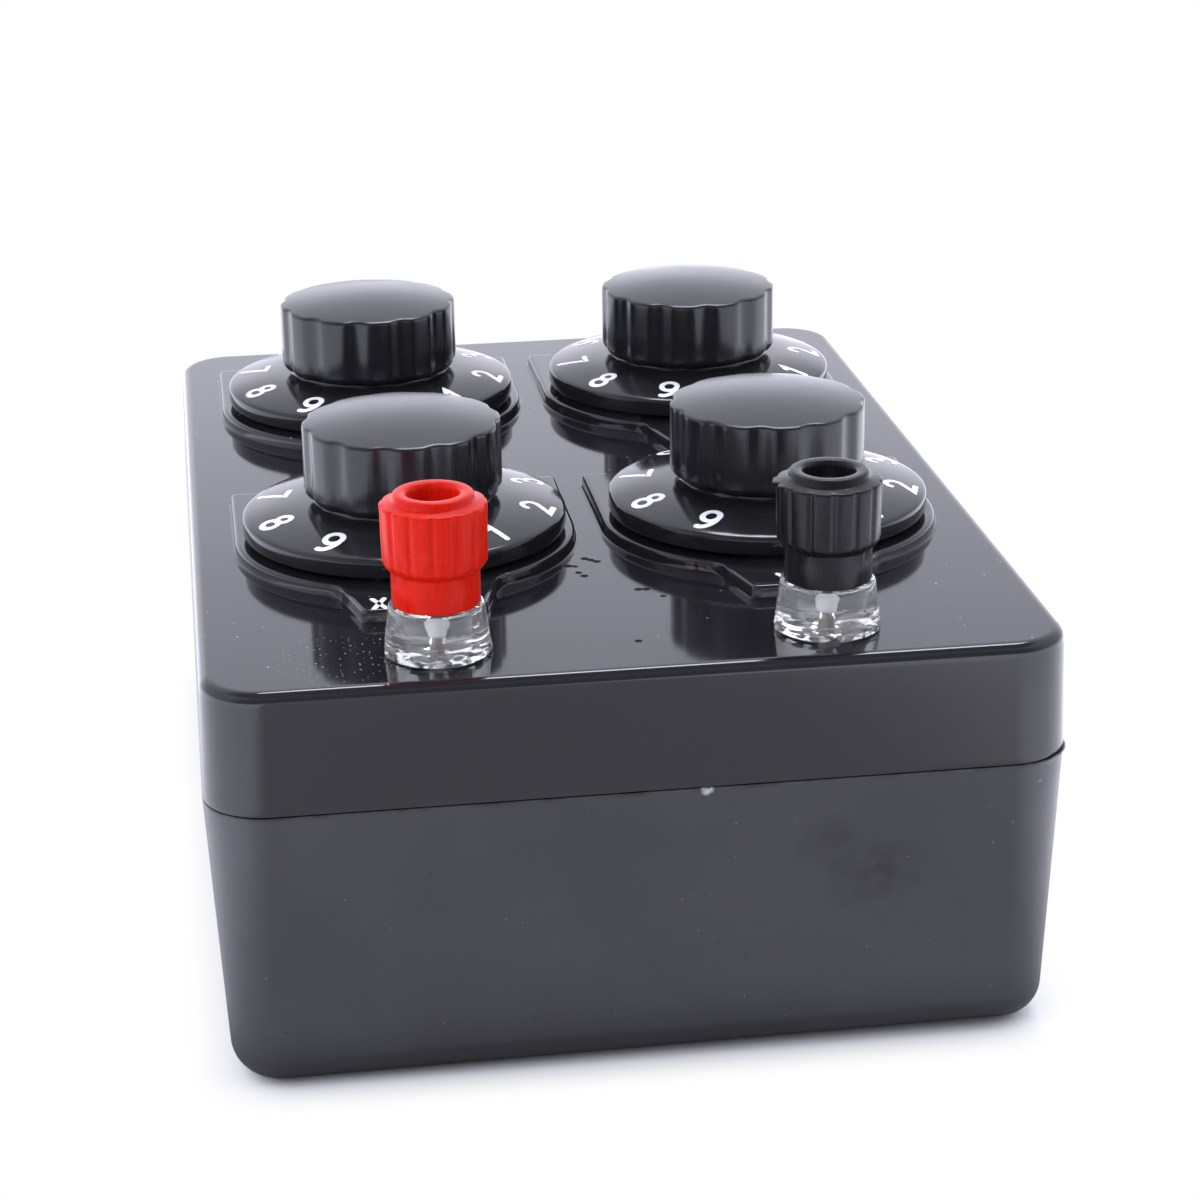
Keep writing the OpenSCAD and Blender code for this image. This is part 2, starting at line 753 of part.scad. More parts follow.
module insert() {
    color("#c8a45a") tube(insert_r, stud_r + stud_fit, insert_foot, insert_top);
}

module stud() {
    hole_z = clear_top + cap_gap + 2 * wire_hole_r;
    color("#c9b27a") difference() {
        union() {
            rod(stud_r, stud_foot, stud_top);
            translate([0, 0, collar_foot]) cylinder(r1 = stud_r, r2 = collar_r, h = collar_t);
        }
        rod(socket_r, stud_top - socket_l, stud_top + cut);
        translate([0, 0, hole_z]) rotate([0, 90, 0])
            cylinder(r = wire_hole_r, h = 4 * stud_r, center = true);
    }
}

module clear_base() {
    bead_top = lid_top + bead_h;
    color([0.9, 0.92, 0.93, 0.35]) difference() {
        rotate_extrude() polygon([[0, lid_top], [clear_foot_r - bead_d, lid_top],
            [clear_foot_r, lid_top + bead_d], [clear_foot_r, bead_top - bead_d],
            [clear_foot_r - bead_d, bead_top], [clear_top_r, clear_top], [0, clear_top]]);
        rod(stud_r + stud_fit, lid_top - cut, clear_top + cut);
        translate([0, 0, collar_foot])
            cylinder(r1 = stud_r + stud_fit, r2 = collar_r + stud_fit, h = collar_t);
        rod(collar_r + stud_fit, collar_top - stud_fit, clear_top + cut);
    }
}

module post_nuts() {
    color("#b9bbbe") at_posts() hex_nut(post_nut_af, stud_r + stud_fit, nut_seat - post_nut_t, nut_seat);
}

module post_lugs() {
    tongue_w = lug_r;
    color("#c8a45a") at_posts() difference() {
        union() {
            rod(lug_r, nut_seat, lid_under);
            translate([-tongue_w / 2, 0, nut_seat]) cube([tongue_w, lug_reach, lug_t]);
            translate([0, lug_reach, 0]) rod(tongue_w / 2, nut_seat, lid_under);
        }
        rod(stud_r + stud_fit, nut_seat - cut, lid_under + cut);
    }
}

// Wiring: post to collector, stud nought to the next collector, and so on to the other post

function collector_end(i) = [DIAL_PLACES[i][0] + collector_r, DIAL_PLACES[i][1], tail_foot - solder_gap];
function stud_end(i) = [DIAL_PLACES[i][0], DIAL_PLACES[i][1] - stud_ring_r, tail_foot - solder_gap];
function lug_end(i) = [POST_PLACES[i][0], POST_PLACES[i][1] + lug_reach, nut_seat - solder_gap];

WIRE_ENDS = [[lug_end(0), collector_end(0)], [stud_end(0), collector_end(1)],
    [stud_end(1), collector_end(2)], [stud_end(2), collector_end(3)], [stud_end(3), lug_end(1)]];
// Distance of each wire's run from the middle plane
WIRE_LANES = [-8, 0, 4, 8, 14];

module wire_run(a, b) {
    d = b - a;
    l = norm(d);
    translate(a) rotate([0, acos(d[2] / l), atan2(d[1], d[0])]) cylinder(r = wire_r, h = l, $fn = 32);
}

module link_wire(from, to, lane, z) {
    bends = [[from[0], from[1], z], [lane, from[1], z], [lane, to[1], z], [to[0], to[1], z]];
    path = concat([from], bends, [to]);
    for (i = [0 : len(path) - 2]) wire_run(path[i], path[i + 1]);
    for (p = bends) translate(p) sphere(wire_r * bend_swell, $fn = 32);
}

module link_wires() {
    color("#a83226") for (i = [0 : len(WIRE_LANES) - 1])
        link_wire(WIRE_ENDS[i][0], WIRE_ENDS[i][1], WIRE_LANES[i], wire_top - i * wire_step);
}

base_box();
lid();
case_screws();
board_screws();
bush_nuts();
post_nuts();
post_lugs();
link_wires();

for (i = [0 : len(DECADES) - 1]) translate(DIAL_PLACES[i]) {
    rotate(dial_turns[i]) dial();
    rotate(dial_turns[i]) knob();
    rotate(dial_turns[i]) shaft();
    clip();
    index_plate();
    wiper();
    bush();
    index_spring();
    board();
    contacts();
    resistors();
}

for (i = [0 : len(POSTS) - 1]) translate(POST_PLACES[i]) {
    cap(CAP_TINTS[i]);
    insert();
    stud();
    clear_base();
}
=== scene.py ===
"""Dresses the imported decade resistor: mouldings, dials, knobs, posts, printing, finishes, studio and camera.

Meshes are worked out in millimetres, in the CAD frame, and written in metres.
"""
import json
from math import atan2, ceil, cos, degrees, exp, pi, radians, sin, sqrt

import bmesh
import bpy
from mathutils import Matrix, Vector, noise
from mathutils.geometry import tessellate_polygon


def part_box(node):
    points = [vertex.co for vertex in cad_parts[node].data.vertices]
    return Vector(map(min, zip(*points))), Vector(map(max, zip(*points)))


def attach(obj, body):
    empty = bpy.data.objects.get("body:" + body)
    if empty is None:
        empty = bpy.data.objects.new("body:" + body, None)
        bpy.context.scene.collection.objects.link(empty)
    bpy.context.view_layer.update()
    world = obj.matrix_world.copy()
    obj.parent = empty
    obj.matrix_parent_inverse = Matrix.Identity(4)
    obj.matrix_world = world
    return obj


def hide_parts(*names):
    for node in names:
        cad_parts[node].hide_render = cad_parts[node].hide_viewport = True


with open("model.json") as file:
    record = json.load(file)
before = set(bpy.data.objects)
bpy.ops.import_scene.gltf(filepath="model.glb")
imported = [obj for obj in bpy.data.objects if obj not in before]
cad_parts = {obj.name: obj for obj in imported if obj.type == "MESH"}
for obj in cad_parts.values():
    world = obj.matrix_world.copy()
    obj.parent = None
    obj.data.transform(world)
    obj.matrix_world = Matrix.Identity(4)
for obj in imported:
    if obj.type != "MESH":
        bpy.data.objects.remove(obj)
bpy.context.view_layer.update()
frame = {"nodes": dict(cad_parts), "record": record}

MM = 0.001
DECADES = ("thousands", "hundreds", "tens", "units")
POSTS = ("red", "black")


def span(node):
    """Lowest and highest corner of a CAD node, in millimetres."""
    low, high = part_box(node)
    return [v / MM for v in low], [v / MM for v in high]


def middle(node):
    """Middle of a CAD node seen from above."""
    low, high = span(node)
    return (low[0] + high[0]) / 2, (low[1] + high[1]) / 2


# Sizes read off the frame
BASE_HIGH = span("base_box")[1]
LID_LOW, LID_HIGH = span("lid")
CLEAR_LOW, CLEAR_HIGH = span("red_clear_base")
CAP_LOW, CAP_HIGH = span("red_cap")
DIAL_LOW, DIAL_HIGH = span("units_dial")
KNOB_LOW, KNOB_HIGH = span("units_knob")
STUD_LOW, STUD_HIGH = span("red_stud")

HALF_W = BASE_HIGH[0]
HALF_D = BASE_HIGH[1]
SEAM = BASE_HIGH[2]
LID_TOP = CLEAR_LOW[2]
PLATEAU_TOP = LID_HIGH[2]
TONGUE_FOOT = LID_LOW[2]

# Sizes of the case mouldings
WALL = 2.5
LID_UNDER = LID_TOP - WALL
CORNER_R = 7.5
BASE_LEAN = 1.7
LEAN_ANGLE = 2.7
LID_LEAN = 0.4
FOOT_ROUND = 4.6
FOOT_FIT = 0.953
LID_ROUND = 1.3
SEAM_ROUND = 0.22
SEAM_GAP = 0.02
WARP = 1.5
WARP_MIDDLE = 9
WARP_REACH = 40
WARP_HEIGHT = 14
WARP_FULL = 6
WARP_GONE = 24
LIP_SIDE = (HALF_W - 9, HALF_W - 1)
LIP_NEAR = (HALF_D - 10, HALF_D - 3)
LIP_PITCH = 0.9
LIP_SEED = 3.0
LIP_CORNER = 0.0065
LIP_RAGGED = 0.0006
LIP_FRONT = 0.002
LIP_LIFT = 0.35
INNER_ROUND = 1.0
TONGUE_T = 1.2
TONGUE_FIT = 0.4
SHELF = 0.25
CORNER_STEPS = 18
HOLE_STEPS = 40
PILLAR_R = 4.4
PILLAR_INSET = 10
SCREW_SEAT = SEAM - 6
COUNTERBORE_R = 3.0
SCREW_HOLE_R = 1.65
LID_SCREW_HOLE_R = 1.5
BUSH_HOLE_R = 4.6
POST_HOLE_R = 2.9
BOARD_PILLAR_R = 2.4
BOARD_PILLAR_X = 19
BOARD_PILLAR_FOOT = 37.8
BOARD_SCREW_HOLE_R = 1.1
BLIND_END = 1.5

# Sizes of the plateaus
PLATEAU_R = 21.2
PLATEAU_BACK = 18.5
TAB_REACH = 28
TAB_FRONT = 7.2
TAB_ROOT = 9.5
PLATEAU_STEPS = 120
PLATEAU_PITCH = 0.45
CORNER_BEND = 0.9
ROOT_BEND = 1.5
BEND_STEPS = 6
PLATEAU_MITRE = 0.5

# Sizes of the dials and knobs
SKIRT_R = (DIAL_HIGH[0] - DIAL_LOW[0]) / 2
RIM_FOOT = DIAL_LOW[2]
RIM_TOP = RIM_FOOT + 2.2
FACE_RISE = 1.56
FACE_BULGE = 1.85
NECK_R = 10.8
NECK_TOP = RIM_TOP + 2.3
NECK_FLARE = 0.5
HUB_R = 5.6
HUB_FOOT = 54.1
HUB_TOP = DIAL_HIGH[2]
SHAFT_HOLE_R = 3.03
DIAL_STEPS = 160
KNOB_R = 12.3
KNOB_FOOT = KNOB_LOW[2]
KNOB_TOP = KNOB_HIGH[2]
KNOB_DOME = 1.3
KNOB_WALL = 1.9
KNOB_BEVEL = 0.6
KNOB_EDGE = 0.28
DOME_SHARES = (0.97, 0.92, 0.85, 0.75, 0.6, 0.45, 0.3, 0.15, 0.04)
FLUTES = 12
FLUTE_R = 2.9
FLUTE_D = 0.5
KNOB_STEPS = FLUTES * 30
FLUTE_EASING = 8
DIAL_TURNS = {"thousands": 3, "hundreds": 17, "tens": 0, "units": 0}
MULTIPLIERS = {"thousands": "X1000", "hundreds": "X100", "tens": "X10", "units": "X1"}


def bow(x, y, rx, ry, start, end, steps=22):
    """Points on an elliptic arc, with angles in degrees."""
    turns = [radians(start + (end - start) * i / steps) for i in range(steps + 1)]
    return [(x + rx * cos(a), y + ry * sin(a)) for a in turns]


def arc(x, z, r, start, end, steps):
    """Points on a round arc."""
    return bow(x, z, r, r, start, end, steps)


def smooth(x, low, high):
    """0 below low, 1 above high, with an even slope between."""
    t = min(max((x - low) / (high - low), 0), 1)
    return t * t * (3 - 2 * t)


def at(x, y, r, a, z):
    """The point at an angle on a level circle."""
    return x + r * cos(a), y + r * sin(a), z


def circle(x, y, r, z, steps=HOLE_STEPS):
    """A level circle of points."""
    return [at(x, y, r, 2 * pi * i / steps, z) for i in range(steps)]


def finer(path, reach):
    """A path with points added so that no two are further apart than reach."""
    points = [Vector(p) for p in path]
    out = points[:1]
    for a, b in zip(points, points[1:]):
        count = ceil((b - a).length / reach)
        out += [a.lerp(b, (i + 1) / count) for i in range(count)]
    return out


def mitred(path, loop, least):
    """The points of a path, each with its direction and the cosine of half its bend, never below least."""
    out = []
    for i, p in enumerate(path):
        before = p - path[i - 1] if loop or i else path[1] - p
        after = path[(i + 1) % len(path)] - p if loop or i < len(path) - 1 else p - path[i - 1]
        along = (before.normalized() + after.normalized()).normalized()
        out.append((p, along, max(along.dot(after.normalized()), least)))
    return out


def case_ring(inset, z):
    """Outline of the case at height z, a distance in from its outline at the seam."""
    points = []
    for quarter, (sx, sy) in enumerate(((1, 1), (-1, 1), (-1, -1), (1, -1))):
        x, y = sx * (HALF_W - CORNER_R), sy * (HALF_D - CORNER_R)
        for i in range(CORNER_STEPS + 1):
            a = radians(90 * (quarter + i / CORNER_STEPS))
            points.append(at(x, y, CORNER_R - inset, a, z))
    return points


def add(name, data):
    """Puts an object into the scene."""
    made = bpy.data.objects.new(name, data)
    bpy.context.scene.collection.objects.link(made)
    return made


class Shape:
    """A mesh in the making: rings of points, joined by faces."""

    def __init__(self):
        self.points, self.faces = [], []

    def ring(self, points):
        """Adds points and gives their numbers."""
        first = len(self.points)
        self.points += [tuple(p) for p in points]
        return list(range(first, len(self.points)))

    def bridge(self, a, b):
        """Joins two closed rings that have the same count."""
        for i in range(len(a)):
            j = (i + 1) % len(a)
            self.faces.append((a[i], a[j], b[j], b[i]))

    def loft(self, rings, closed=False):
        """Joins rings in turn, the last to the first if closed. Gives the first and last ring's numbers."""
        numbers = [self.ring(r) for r in rings]
        for a, b in zip(numbers, numbers[1:] + numbers[:closed]):
            self.bridge(a, b)
        return numbers[0], numbers[-1]

    def capped(self, rings):
        """Joins rings in turn and closes both ends."""
        for end in self.loft(rings):
            self.close(end)

    def close(self, ring):
        """Closes a ring with one face."""
        self.faces.append(tuple(ring))

    def sheet(self, outer, holes):
        """Fills a level outline that has holes."""
        loops = [outer, *holes]
        numbers = [i for loop in loops for i in loop]
        for corners in tessellate_polygon([[Vector(self.points[i]) for i in loop] for loop in loops]):
            self.faces.append(tuple(numbers[i] for i in corners))

    def make(self, name, body, sharp=38):
        """Writes the mesh as a piece that rides on a body."""
        mesh = bpy.data.meshes.new(name)
        mesh.from_pydata([[v * MM for v in p] for p in self.points], [], self.faces)
        work = bmesh.new()
        work.from_mesh(mesh)
        bmesh.ops.recalc_face_normals(work, faces=work.faces)
        work.to_mesh(mesh)
        work.free()
        mesh.shade_smooth()
        mesh.set_sharp_from_angle(angle=radians(sharp))
        piece = add(name, mesh)
        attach(piece, body)
        return piece


# Case mouldings

CASE_SCREWS = [(sx * (HALF_W - PILLAR_INSET), sy * (HALF_D - PILLAR_INSET))
               for sx in (-1, 1) for sy in (-1, 1)]
DIAL_PLACES = {d: middle(f"{d}_knob") for d in DECADES}
POST_PLACES = {c: middle(f"{c}_cap") for c in POSTS}


def base_inset(z):
    """Distance of the base's side in from the seam's outline at height z."""
    return BASE_LEAN * (1 - z / SEAM)


def flash_lip(points):
    """Pushes out the thin moulding flash at the base's rim, most at the front right corner."""
    out = []
    for x, y, z in points:
        corner = smooth(x, *LIP_SIDE) * smooth(-y, *LIP_NEAR)
        ragged = 0.5 + 0.5 * noise.noise((x * LIP_PITCH, y * LIP_PITCH, LIP_SEED))
        push = 1 + (LIP_CORNER * corner + LIP_RAGGED * ragged)
        out.append((x * push, y * (1 + LIP_FRONT * corner), z + LIP_LIFT * corner * ragged))
    return out


def warped(points):
    """Lifts the foot in the middle of the front, where the moulding has warped."""
    out = []
    for x, y, z in points:
        front = smooth(-y, HALF_D - WARP_GONE, HALF_D - WARP_FULL)
        middle_share = max(1 - ((x - WARP_MIDDLE) / WARP_REACH) ** 2, 0)
        out.append((x, y, z + WARP * front * middle_share * (1 - smooth(z, 0, WARP_HEIGHT))))
    return out


def base_moulding():
    """The base: a leaning tub with a rounded foot and four counterbored pillars."""
    shape = Shape()
    rim = SEAM - SEAM_GAP
    foot_in = base_inset(0) + FOOT_ROUND * FOOT_FIT
    outside = [(foot_in + SHELF, 0)] + arc(foot_in, FOOT_ROUND, FOOT_ROUND, 270, 180 + LEAN_ANGLE, 12)
    outside += [(base_inset(z), z) for z in (12, 20, 28, SEAM - 2, SEAM - 0.9, SEAM - 0.45)]
    lip = [(0, SEAM - SEAM_ROUND), (0.3 * SEAM_ROUND, SEAM - 0.3 * SEAM_ROUND)]
    inside = [(2 * SEAM_ROUND, rim), (WALL, rim)]
    inside += [(base_inset(z) + WALL, z) for z in (28, 16, WALL + INNER_ROUND)]
    inside += arc(base_inset(WALL) + WALL + INNER_ROUND, WALL + INNER_ROUND, INNER_ROUND, 180, 270, 3)[1:]
    rings = [warped(case_ring(i, z)) for i, z in outside]
    rings += [flash_lip(case_ring(i, z)) for i, z in lip]
    rings += [case_ring(i, z) for i, z in inside]
    first, last = shape.loft(rings)
    bore = [(COUNTERBORE_R + 0.2, 0), (COUNTERBORE_R, 0.2), (COUNTERBORE_R, SCREW_SEAT),
            (SCREW_HOLE_R, SCREW_SEAT), (SCREW_HOLE_R, rim), (PILLAR_R - 0.2, rim),
            (PILLAR_R, SEAM - 0.2), (PILLAR_R, WALL)]
    ends = [shape.loft([circle(x, y, r, z) for r, z in bore]) for x, y in CASE_SCREWS]
    shape.sheet(first, [under for under, _ in ends])
    shape.sheet(last, [floor for _, floor in ends])
    return shape.make("base_moulding", "case")


def softened(path, corners, reach):
    """A closed path with each listed corner bent round, from reach before it to reach after it."""
    for corner in corners:
        nearest = min(range(len(path)), key=lambda i: (path[i] - corner).length)
        path = path[nearest:] + path[:nearest]
        kept = [p for p in path[1:] if (p - corner).length > reach]
        start = corner + (kept[-1] - corner).normalized() * reach
        end = corner + (kept[0] - corner).normalized() * reach
        bend = []
        for i in range(BEND_STEPS + 1):
            t = i / BEND_STEPS
            bend.append(start * (1 - t) ** 2 + corner * 2 * t * (1 - t) + end * t ** 2)
        path = bend + kept
    return path


def plateau_path():
    """Outline of a plateau about its dial's axis, counter-clockwise seen from above."""
    tab = Vector((TAB_FRONT, -TAB_REACH))
    root = Vector((TAB_ROOT, -sqrt(PLATEAU_R ** 2 - TAB_ROOT ** 2)))
    back = Vector((PLATEAU_R, PLATEAU_BACK))
    front = arc(0, 0, PLATEAU_R, degrees(atan2(root.y, root.x)), 0, PLATEAU_STEPS)
    right = [tab] + [Vector(p) for p in front] + [back]
    left = [Vector((-p.x, p.y)) for p in reversed(right)]
    path = finer(right + left + right[:1], PLATEAU_PITCH)[:-1]
    for side in (1, -1):
        path = softened(path, [Vector((side * p.x, p.y)) for p in (tab, back)], CORNER_BEND)
        path = softened(path, [Vector((side * root.x, root.y))], ROOT_BEND)
    return path


PLATEAU_PATH = plateau_path()


def plateau_ring(x, y, out, z):
    """Outline of the plateau under the dial at (x, y), moved outwards."""
    points = []
    for p, along, mitre in mitred(PLATEAU_PATH, True, PLATEAU_MITRE):
        q = p + Vector((along.y, -along.x)) * (out / mitre)
        points.append((x + q.x, y + q.y, z))
    return points


def lid_moulding():
    """The lid: a shallow tray turned over, with four plateaus, and pillars beneath."""
    shape = Shape()

    def lean(z):
        return LID_LEAN * (z - SEAM) / (LID_TOP - SEAM)

    round_in, round_z = lean(LID_TOP) + LID_ROUND, LID_TOP - LID_ROUND
    side = arc(SEAM_ROUND, SEAM + SEAM_ROUND, SEAM_ROUND, 270, 180, 4)
    side += [(lean(z), z) for z in (SEAM + 0.8, SEAM + 5, SEAM + 9, round_z - 0.6)]
    side += arc(round_in, round_z, LID_ROUND, 180, 90, 9)
    side.append((round_in + SHELF, LID_TOP))
    rim = SEAM + SEAM_GAP
    tongue_out = WALL + TONGUE_FIT
    tongue_in = tongue_out + TONGUE_T
    inside = [(tongue_in, LID_UNDER), (tongue_in, TONGUE_FOOT), (tongue_out, TONGUE_FOOT), (tongue_out, rim),
              (2 * SEAM_ROUND, rim)]
    first, last = shape.loft([case_ring(i, z) for i, z in inside + side])
    edge = [(0.5, LID_TOP), (0.28, LID_TOP), (0.12, LID_TOP + 0.05), (0.05, LID_TOP + 0.2),
            (0.0, PLATEAU_TOP - 0.5), (-0.04, PLATEAU_TOP - 0.31), (-0.15, PLATEAU_TOP - 0.15),
            (-0.31, PLATEAU_TOP - 0.04), (-0.5, PLATEAU_TOP), (-0.75, PLATEAU_TOP)]
    tops, unders = [], []
    for x, y in DIAL_PLACES.values():
        foot, top = shape.loft([plateau_ring(x, y, out, z) for out, z in edge])
        bore_top, bore_foot = shape.loft([circle(x, y, BUSH_HOLE_R, z) for z in (PLATEAU_TOP, LID_UNDER)])
        shape.sheet(top, [bore_top])
        tops.append(foot)
        unders.append(bore_foot)
        for s in (-1, 1):
            place = (x + s * BOARD_PILLAR_X, y, BOARD_PILLAR_FOOT)
            unders.append(pillar(shape, *place, BOARD_PILLAR_R, BOARD_SCREW_HOLE_R))
    for x, y in POST_PLACES.values():
        bore_top, bore_foot = shape.loft([circle(x, y, POST_HOLE_R, z) for z in (LID_TOP, LID_UNDER)])
        tops.append(bore_top)
        unders.append(bore_foot)
    for x, y in CASE_SCREWS:
        unders.append(pillar(shape, x, y, rim, PILLAR_R, LID_SCREW_HOLE_R))
    shape.sheet(last, tops)
    shape.sheet(first, unders)
    return shape.make("lid_moulding", "case")


def pillar(shape, x, y, foot, r, hole_r):
    """A pillar under the lid with a blind screw hole. Gives the ring where it meets the lid."""
    section = ((r, LID_UNDER), (r, foot), (hole_r, foot), (hole_r, LID_UNDER - BLIND_END))
    ring, end = shape.loft([circle(x, y, q, z) for q, z in section])
    shape.close(end)
    return ring


# Dials and knobs

def face_height(r):
    """Height of the dial's bulging face at a radius."""
    out = max(r - NECK_R, 0) / (SKIRT_R - NECK_R)
    return RIM_TOP + FACE_RISE * (1 - out ** FACE_BULGE)


def dial_skirt(decade):
    """A dial: rim, bulging face, neck and hub, turned about its shaft."""
    x, y = DIAL_PLACES[decade]
    flare_z = face_height(NECK_R + NECK_FLARE)
    section = [(SHAFT_HOLE_R, HUB_FOOT), (SHAFT_HOLE_R, HUB_TOP - 0.2), (SHAFT_HOLE_R + 0.2, HUB_TOP),
               (HUB_R - 0.3, HUB_TOP), (HUB_R, HUB_TOP - 0.3), (HUB_R, NECK_TOP), (NECK_R - 0.3, NECK_TOP),
               (NECK_R - 0.08, NECK_TOP - 0.08), (NECK_R, NECK_TOP - 0.25)]
    section += arc(NECK_R + NECK_FLARE, flare_z + NECK_FLARE, NECK_FLARE, 180, 264, 7)
    face = [NECK_R + 0.8 + 0.5 * i for i in range(16)] + [SKIRT_R - 0.45]
    section += [(r, face_height(r)) for r in face]
    section += [(SKIRT_R - 0.26, RIM_TOP + 0.05), (SKIRT_R - 0.1, RIM_TOP - 0.07),
                (SKIRT_R - 0.02, RIM_TOP - 0.22), (SKIRT_R, RIM_TOP - 0.45), (SKIRT_R, RIM_FOOT + 0.35),
                (SKIRT_R - 0.1, RIM_FOOT + 0.1), (SKIRT_R - 0.35, RIM_FOOT), (SKIRT_R - 1.3, RIM_FOOT),
                (SKIRT_R - 1.6, RIM_FOOT + 0.7), (NECK_R - 3.2, HUB_FOOT)]
    shape = Shape()
    shape.loft([circle(x, y, r, z, DIAL_STEPS) for r, z in section], closed=True)
    return shape.make(f"{decade}_dial_skirt", f"{decade}_rotor")


def flute_radius(angle):
    """Radius of the fluted knob at an angle in degrees, counted from a lobe's middle."""
    reach = KNOB_R + FLUTE_R - FLUTE_D
    pitch = 360 / FLUTES
    off = radians((angle % pitch) - pitch / 2)
    room = FLUTE_R ** 2 - (reach * sin(off)) ** 2
    return min(KNOB_R, reach * cos(off) - sqrt(room)) if room > 0 else KNOB_R


def flute_radii():
    """The knob's radius at each step round it, with the flutes' edges eased."""
    raw = [flute_radius(360 * i / KNOB_STEPS) for i in range(KNOB_STEPS)]
    for _ in range(FLUTE_EASING):
        raw = [(raw[i - 1] + 2 * raw[i] + raw[(i + 1) % KNOB_STEPS]) / 4 for i in range(KNOB_STEPS)]
    return raw


FLUTE_RADII = flute_radii()


def dome_drop(r):
    """How far the knob's top lies below its middle at a radius."""
    dome_r = (KNOB_R ** 2 + KNOB_DOME ** 2) / (2 * KNOB_DOME)
    return dome_r - sqrt(dome_r ** 2 - r ** 2)


def knob_cap(decade):
    """A knob: fluted side, bevelled foot, eased top edge and a domed top, hollow for the dial's hub."""
    x, y = DIAL_PLACES[decade]
    turn = radians(DIAL_TURNS[decade] - 90)

    def ring(radii, height=None, drop=0):
        """A ring with a radius for each step, at a height or, without one, a drop below the dome."""
        points = []
        for i, r in enumerate(radii):
            z = KNOB_TOP - dome_drop(r) - drop if height is None else height
            points.append(at(x, y, r, 2 * pi * i / KNOB_STEPS + turn, z))
        return points

    def fluted(inset, **level):
        """A ring that follows the flutes."""
        return ring([r - inset for r in FLUTE_RADII], **level)

    def domed(share):
        """A ring on the dome, at a share of the edge's radius. The flutes fade towards the middle."""
        plain = (KNOB_R - 1.3) * (1 - share)
        return ring([share * ((r - KNOB_EDGE - 0.2) * share + plain) for r in FLUTE_RADII])

    inner_r = KNOB_R - FLUTE_D - KNOB_WALL
    ceiling = KNOB_TOP - KNOB_DOME - KNOB_WALL + 0.03
    hollow = ((HUB_R + 0.05, ceiling), (inner_r, ceiling), (inner_r, KNOB_FOOT))
    side = ((KNOB_BEVEL + 0.2, 0), (KNOB_BEVEL, 0.04), (0.25, 0.45), (0.07, 0.75), (0, 1.1), (0, 4), (0, 7.4))
    edge = ((0, KNOB_EDGE + 0.25), (0.01, KNOB_EDGE), (KNOB_EDGE * 0.3, KNOB_EDGE * 0.3),
            (KNOB_EDGE, 0), (KNOB_EDGE + 0.2, 0))
    rings = [circle(x, y, r, z, KNOB_STEPS) for r, z in hollow]
    rings += [fluted(inset, height=KNOB_FOOT + up) for inset, up in side]
    rings += [fluted(inset, drop=drop) for inset, drop in edge]
    rings += [domed(share) for share in DOME_SHARES]
    shape = Shape()
    shape.capped(rings)
    return shape.make(f"{decade}_knob_cap", f"{decade}_rotor")


# Printing

GLYPHS = {
    "0": [bow(0, 0.5, 0.44, 0.5, 90, 450, 36)],
    "1": [[(-0.2, 0.74), (0.08, 1), (0.08, 0)]],
    "2": [bow(0, 0.71, 0.43, 0.29, 165, -40) + [(-0.44, 0), (0.46, 0)]],
    "3": [bow(-0.02, 0.76, 0.38, 0.24, 150, -90) + bow(-0.02, 0.27, 0.45, 0.27, 90, -155)],
    "4": [[(0.2, 0), (0.2, 1), (-0.48, 0.28), (0.48, 0.28)]],
    "5": [[(0.38, 1), (-0.3, 1), (-0.38, 0.53)] + bow(-0.02, 0.33, 0.46, 0.33, 128, -150)],
    "6": [bow(0.2, 0.32, 0.65, 0.68, 78, 165, 14), bow(0, 0.31, 0.44, 0.31, 0, 360, 30)],
    "7": [[(-0.45, 1), (0.45, 1), (-0.12, 0)]],
    "8": [bow(0, 0.76, 0.36, 0.24, 0, 360, 30), bow(0, 0.27, 0.44, 0.27, 0, 360, 30)],
    "9": [bow(-0.2, 0.68, 0.65, 0.68, 258, 345, 14), bow(0, 0.69, 0.44, 0.31, 0, 360, 30)],
    "X": [[(-0.45, 0), (0.45, 1)], [(-0.45, 1), (0.45, 0)]],
}
INK_PROUD = 0.03
INK_SUNK = 0.06
INK_PITCH = 0.35
INK_MITRE = 0.45
INK_TIP = 0.01
INK_ENDS = (0.5, 0.85, 1.0)
INK_CREASE = 60


def ink_stroke(shape, path, thick, place):
    """A rounded band of ink along a path. place turns a drawn point and a height into a point in space."""
    path = finer(path, INK_PITCH)
    loop = (path[0] - path[-1]).length < 1e-6
    if loop:
        path = path[:-1]
    half = thick / 2
    stations = [(p, along, half / mitre) for p, along, mitre in mitred(path, loop, INK_MITRE)]
    if not loop:
        ends = []
        for p, along in ((path[0], -stations[0][1]), (path[-1], stations[-1][1])):
            ends.append([(p + along * half * s, sqrt(1 - s * s) * half + INK_TIP) for s in INK_ENDS])
        stations = ([(q, stations[0][1], w) for q, w in reversed(ends[0])] + stations
                    + [(q, stations[-1][1], w) for q, w in ends[1]])
    rings = []
    for p, along, w in stations:
        aside = Vector((-along.y, along.x)) * w
        rings.append([place(*(p + aside), INK_PROUD), place(*(p - aside), INK_PROUD),
                      place(*(p - aside), -INK_SUNK), place(*(p + aside), -INK_SUNK)])
    if loop:
        shape.loft(rings, closed=True)
    else:
        shape.capped(rings)


DIGITS = 10
DIGIT_OUTER_R = 18.7
DIGIT_H = 3.7
DIGIT_W = 2.45
DIGIT_INK = 0.74


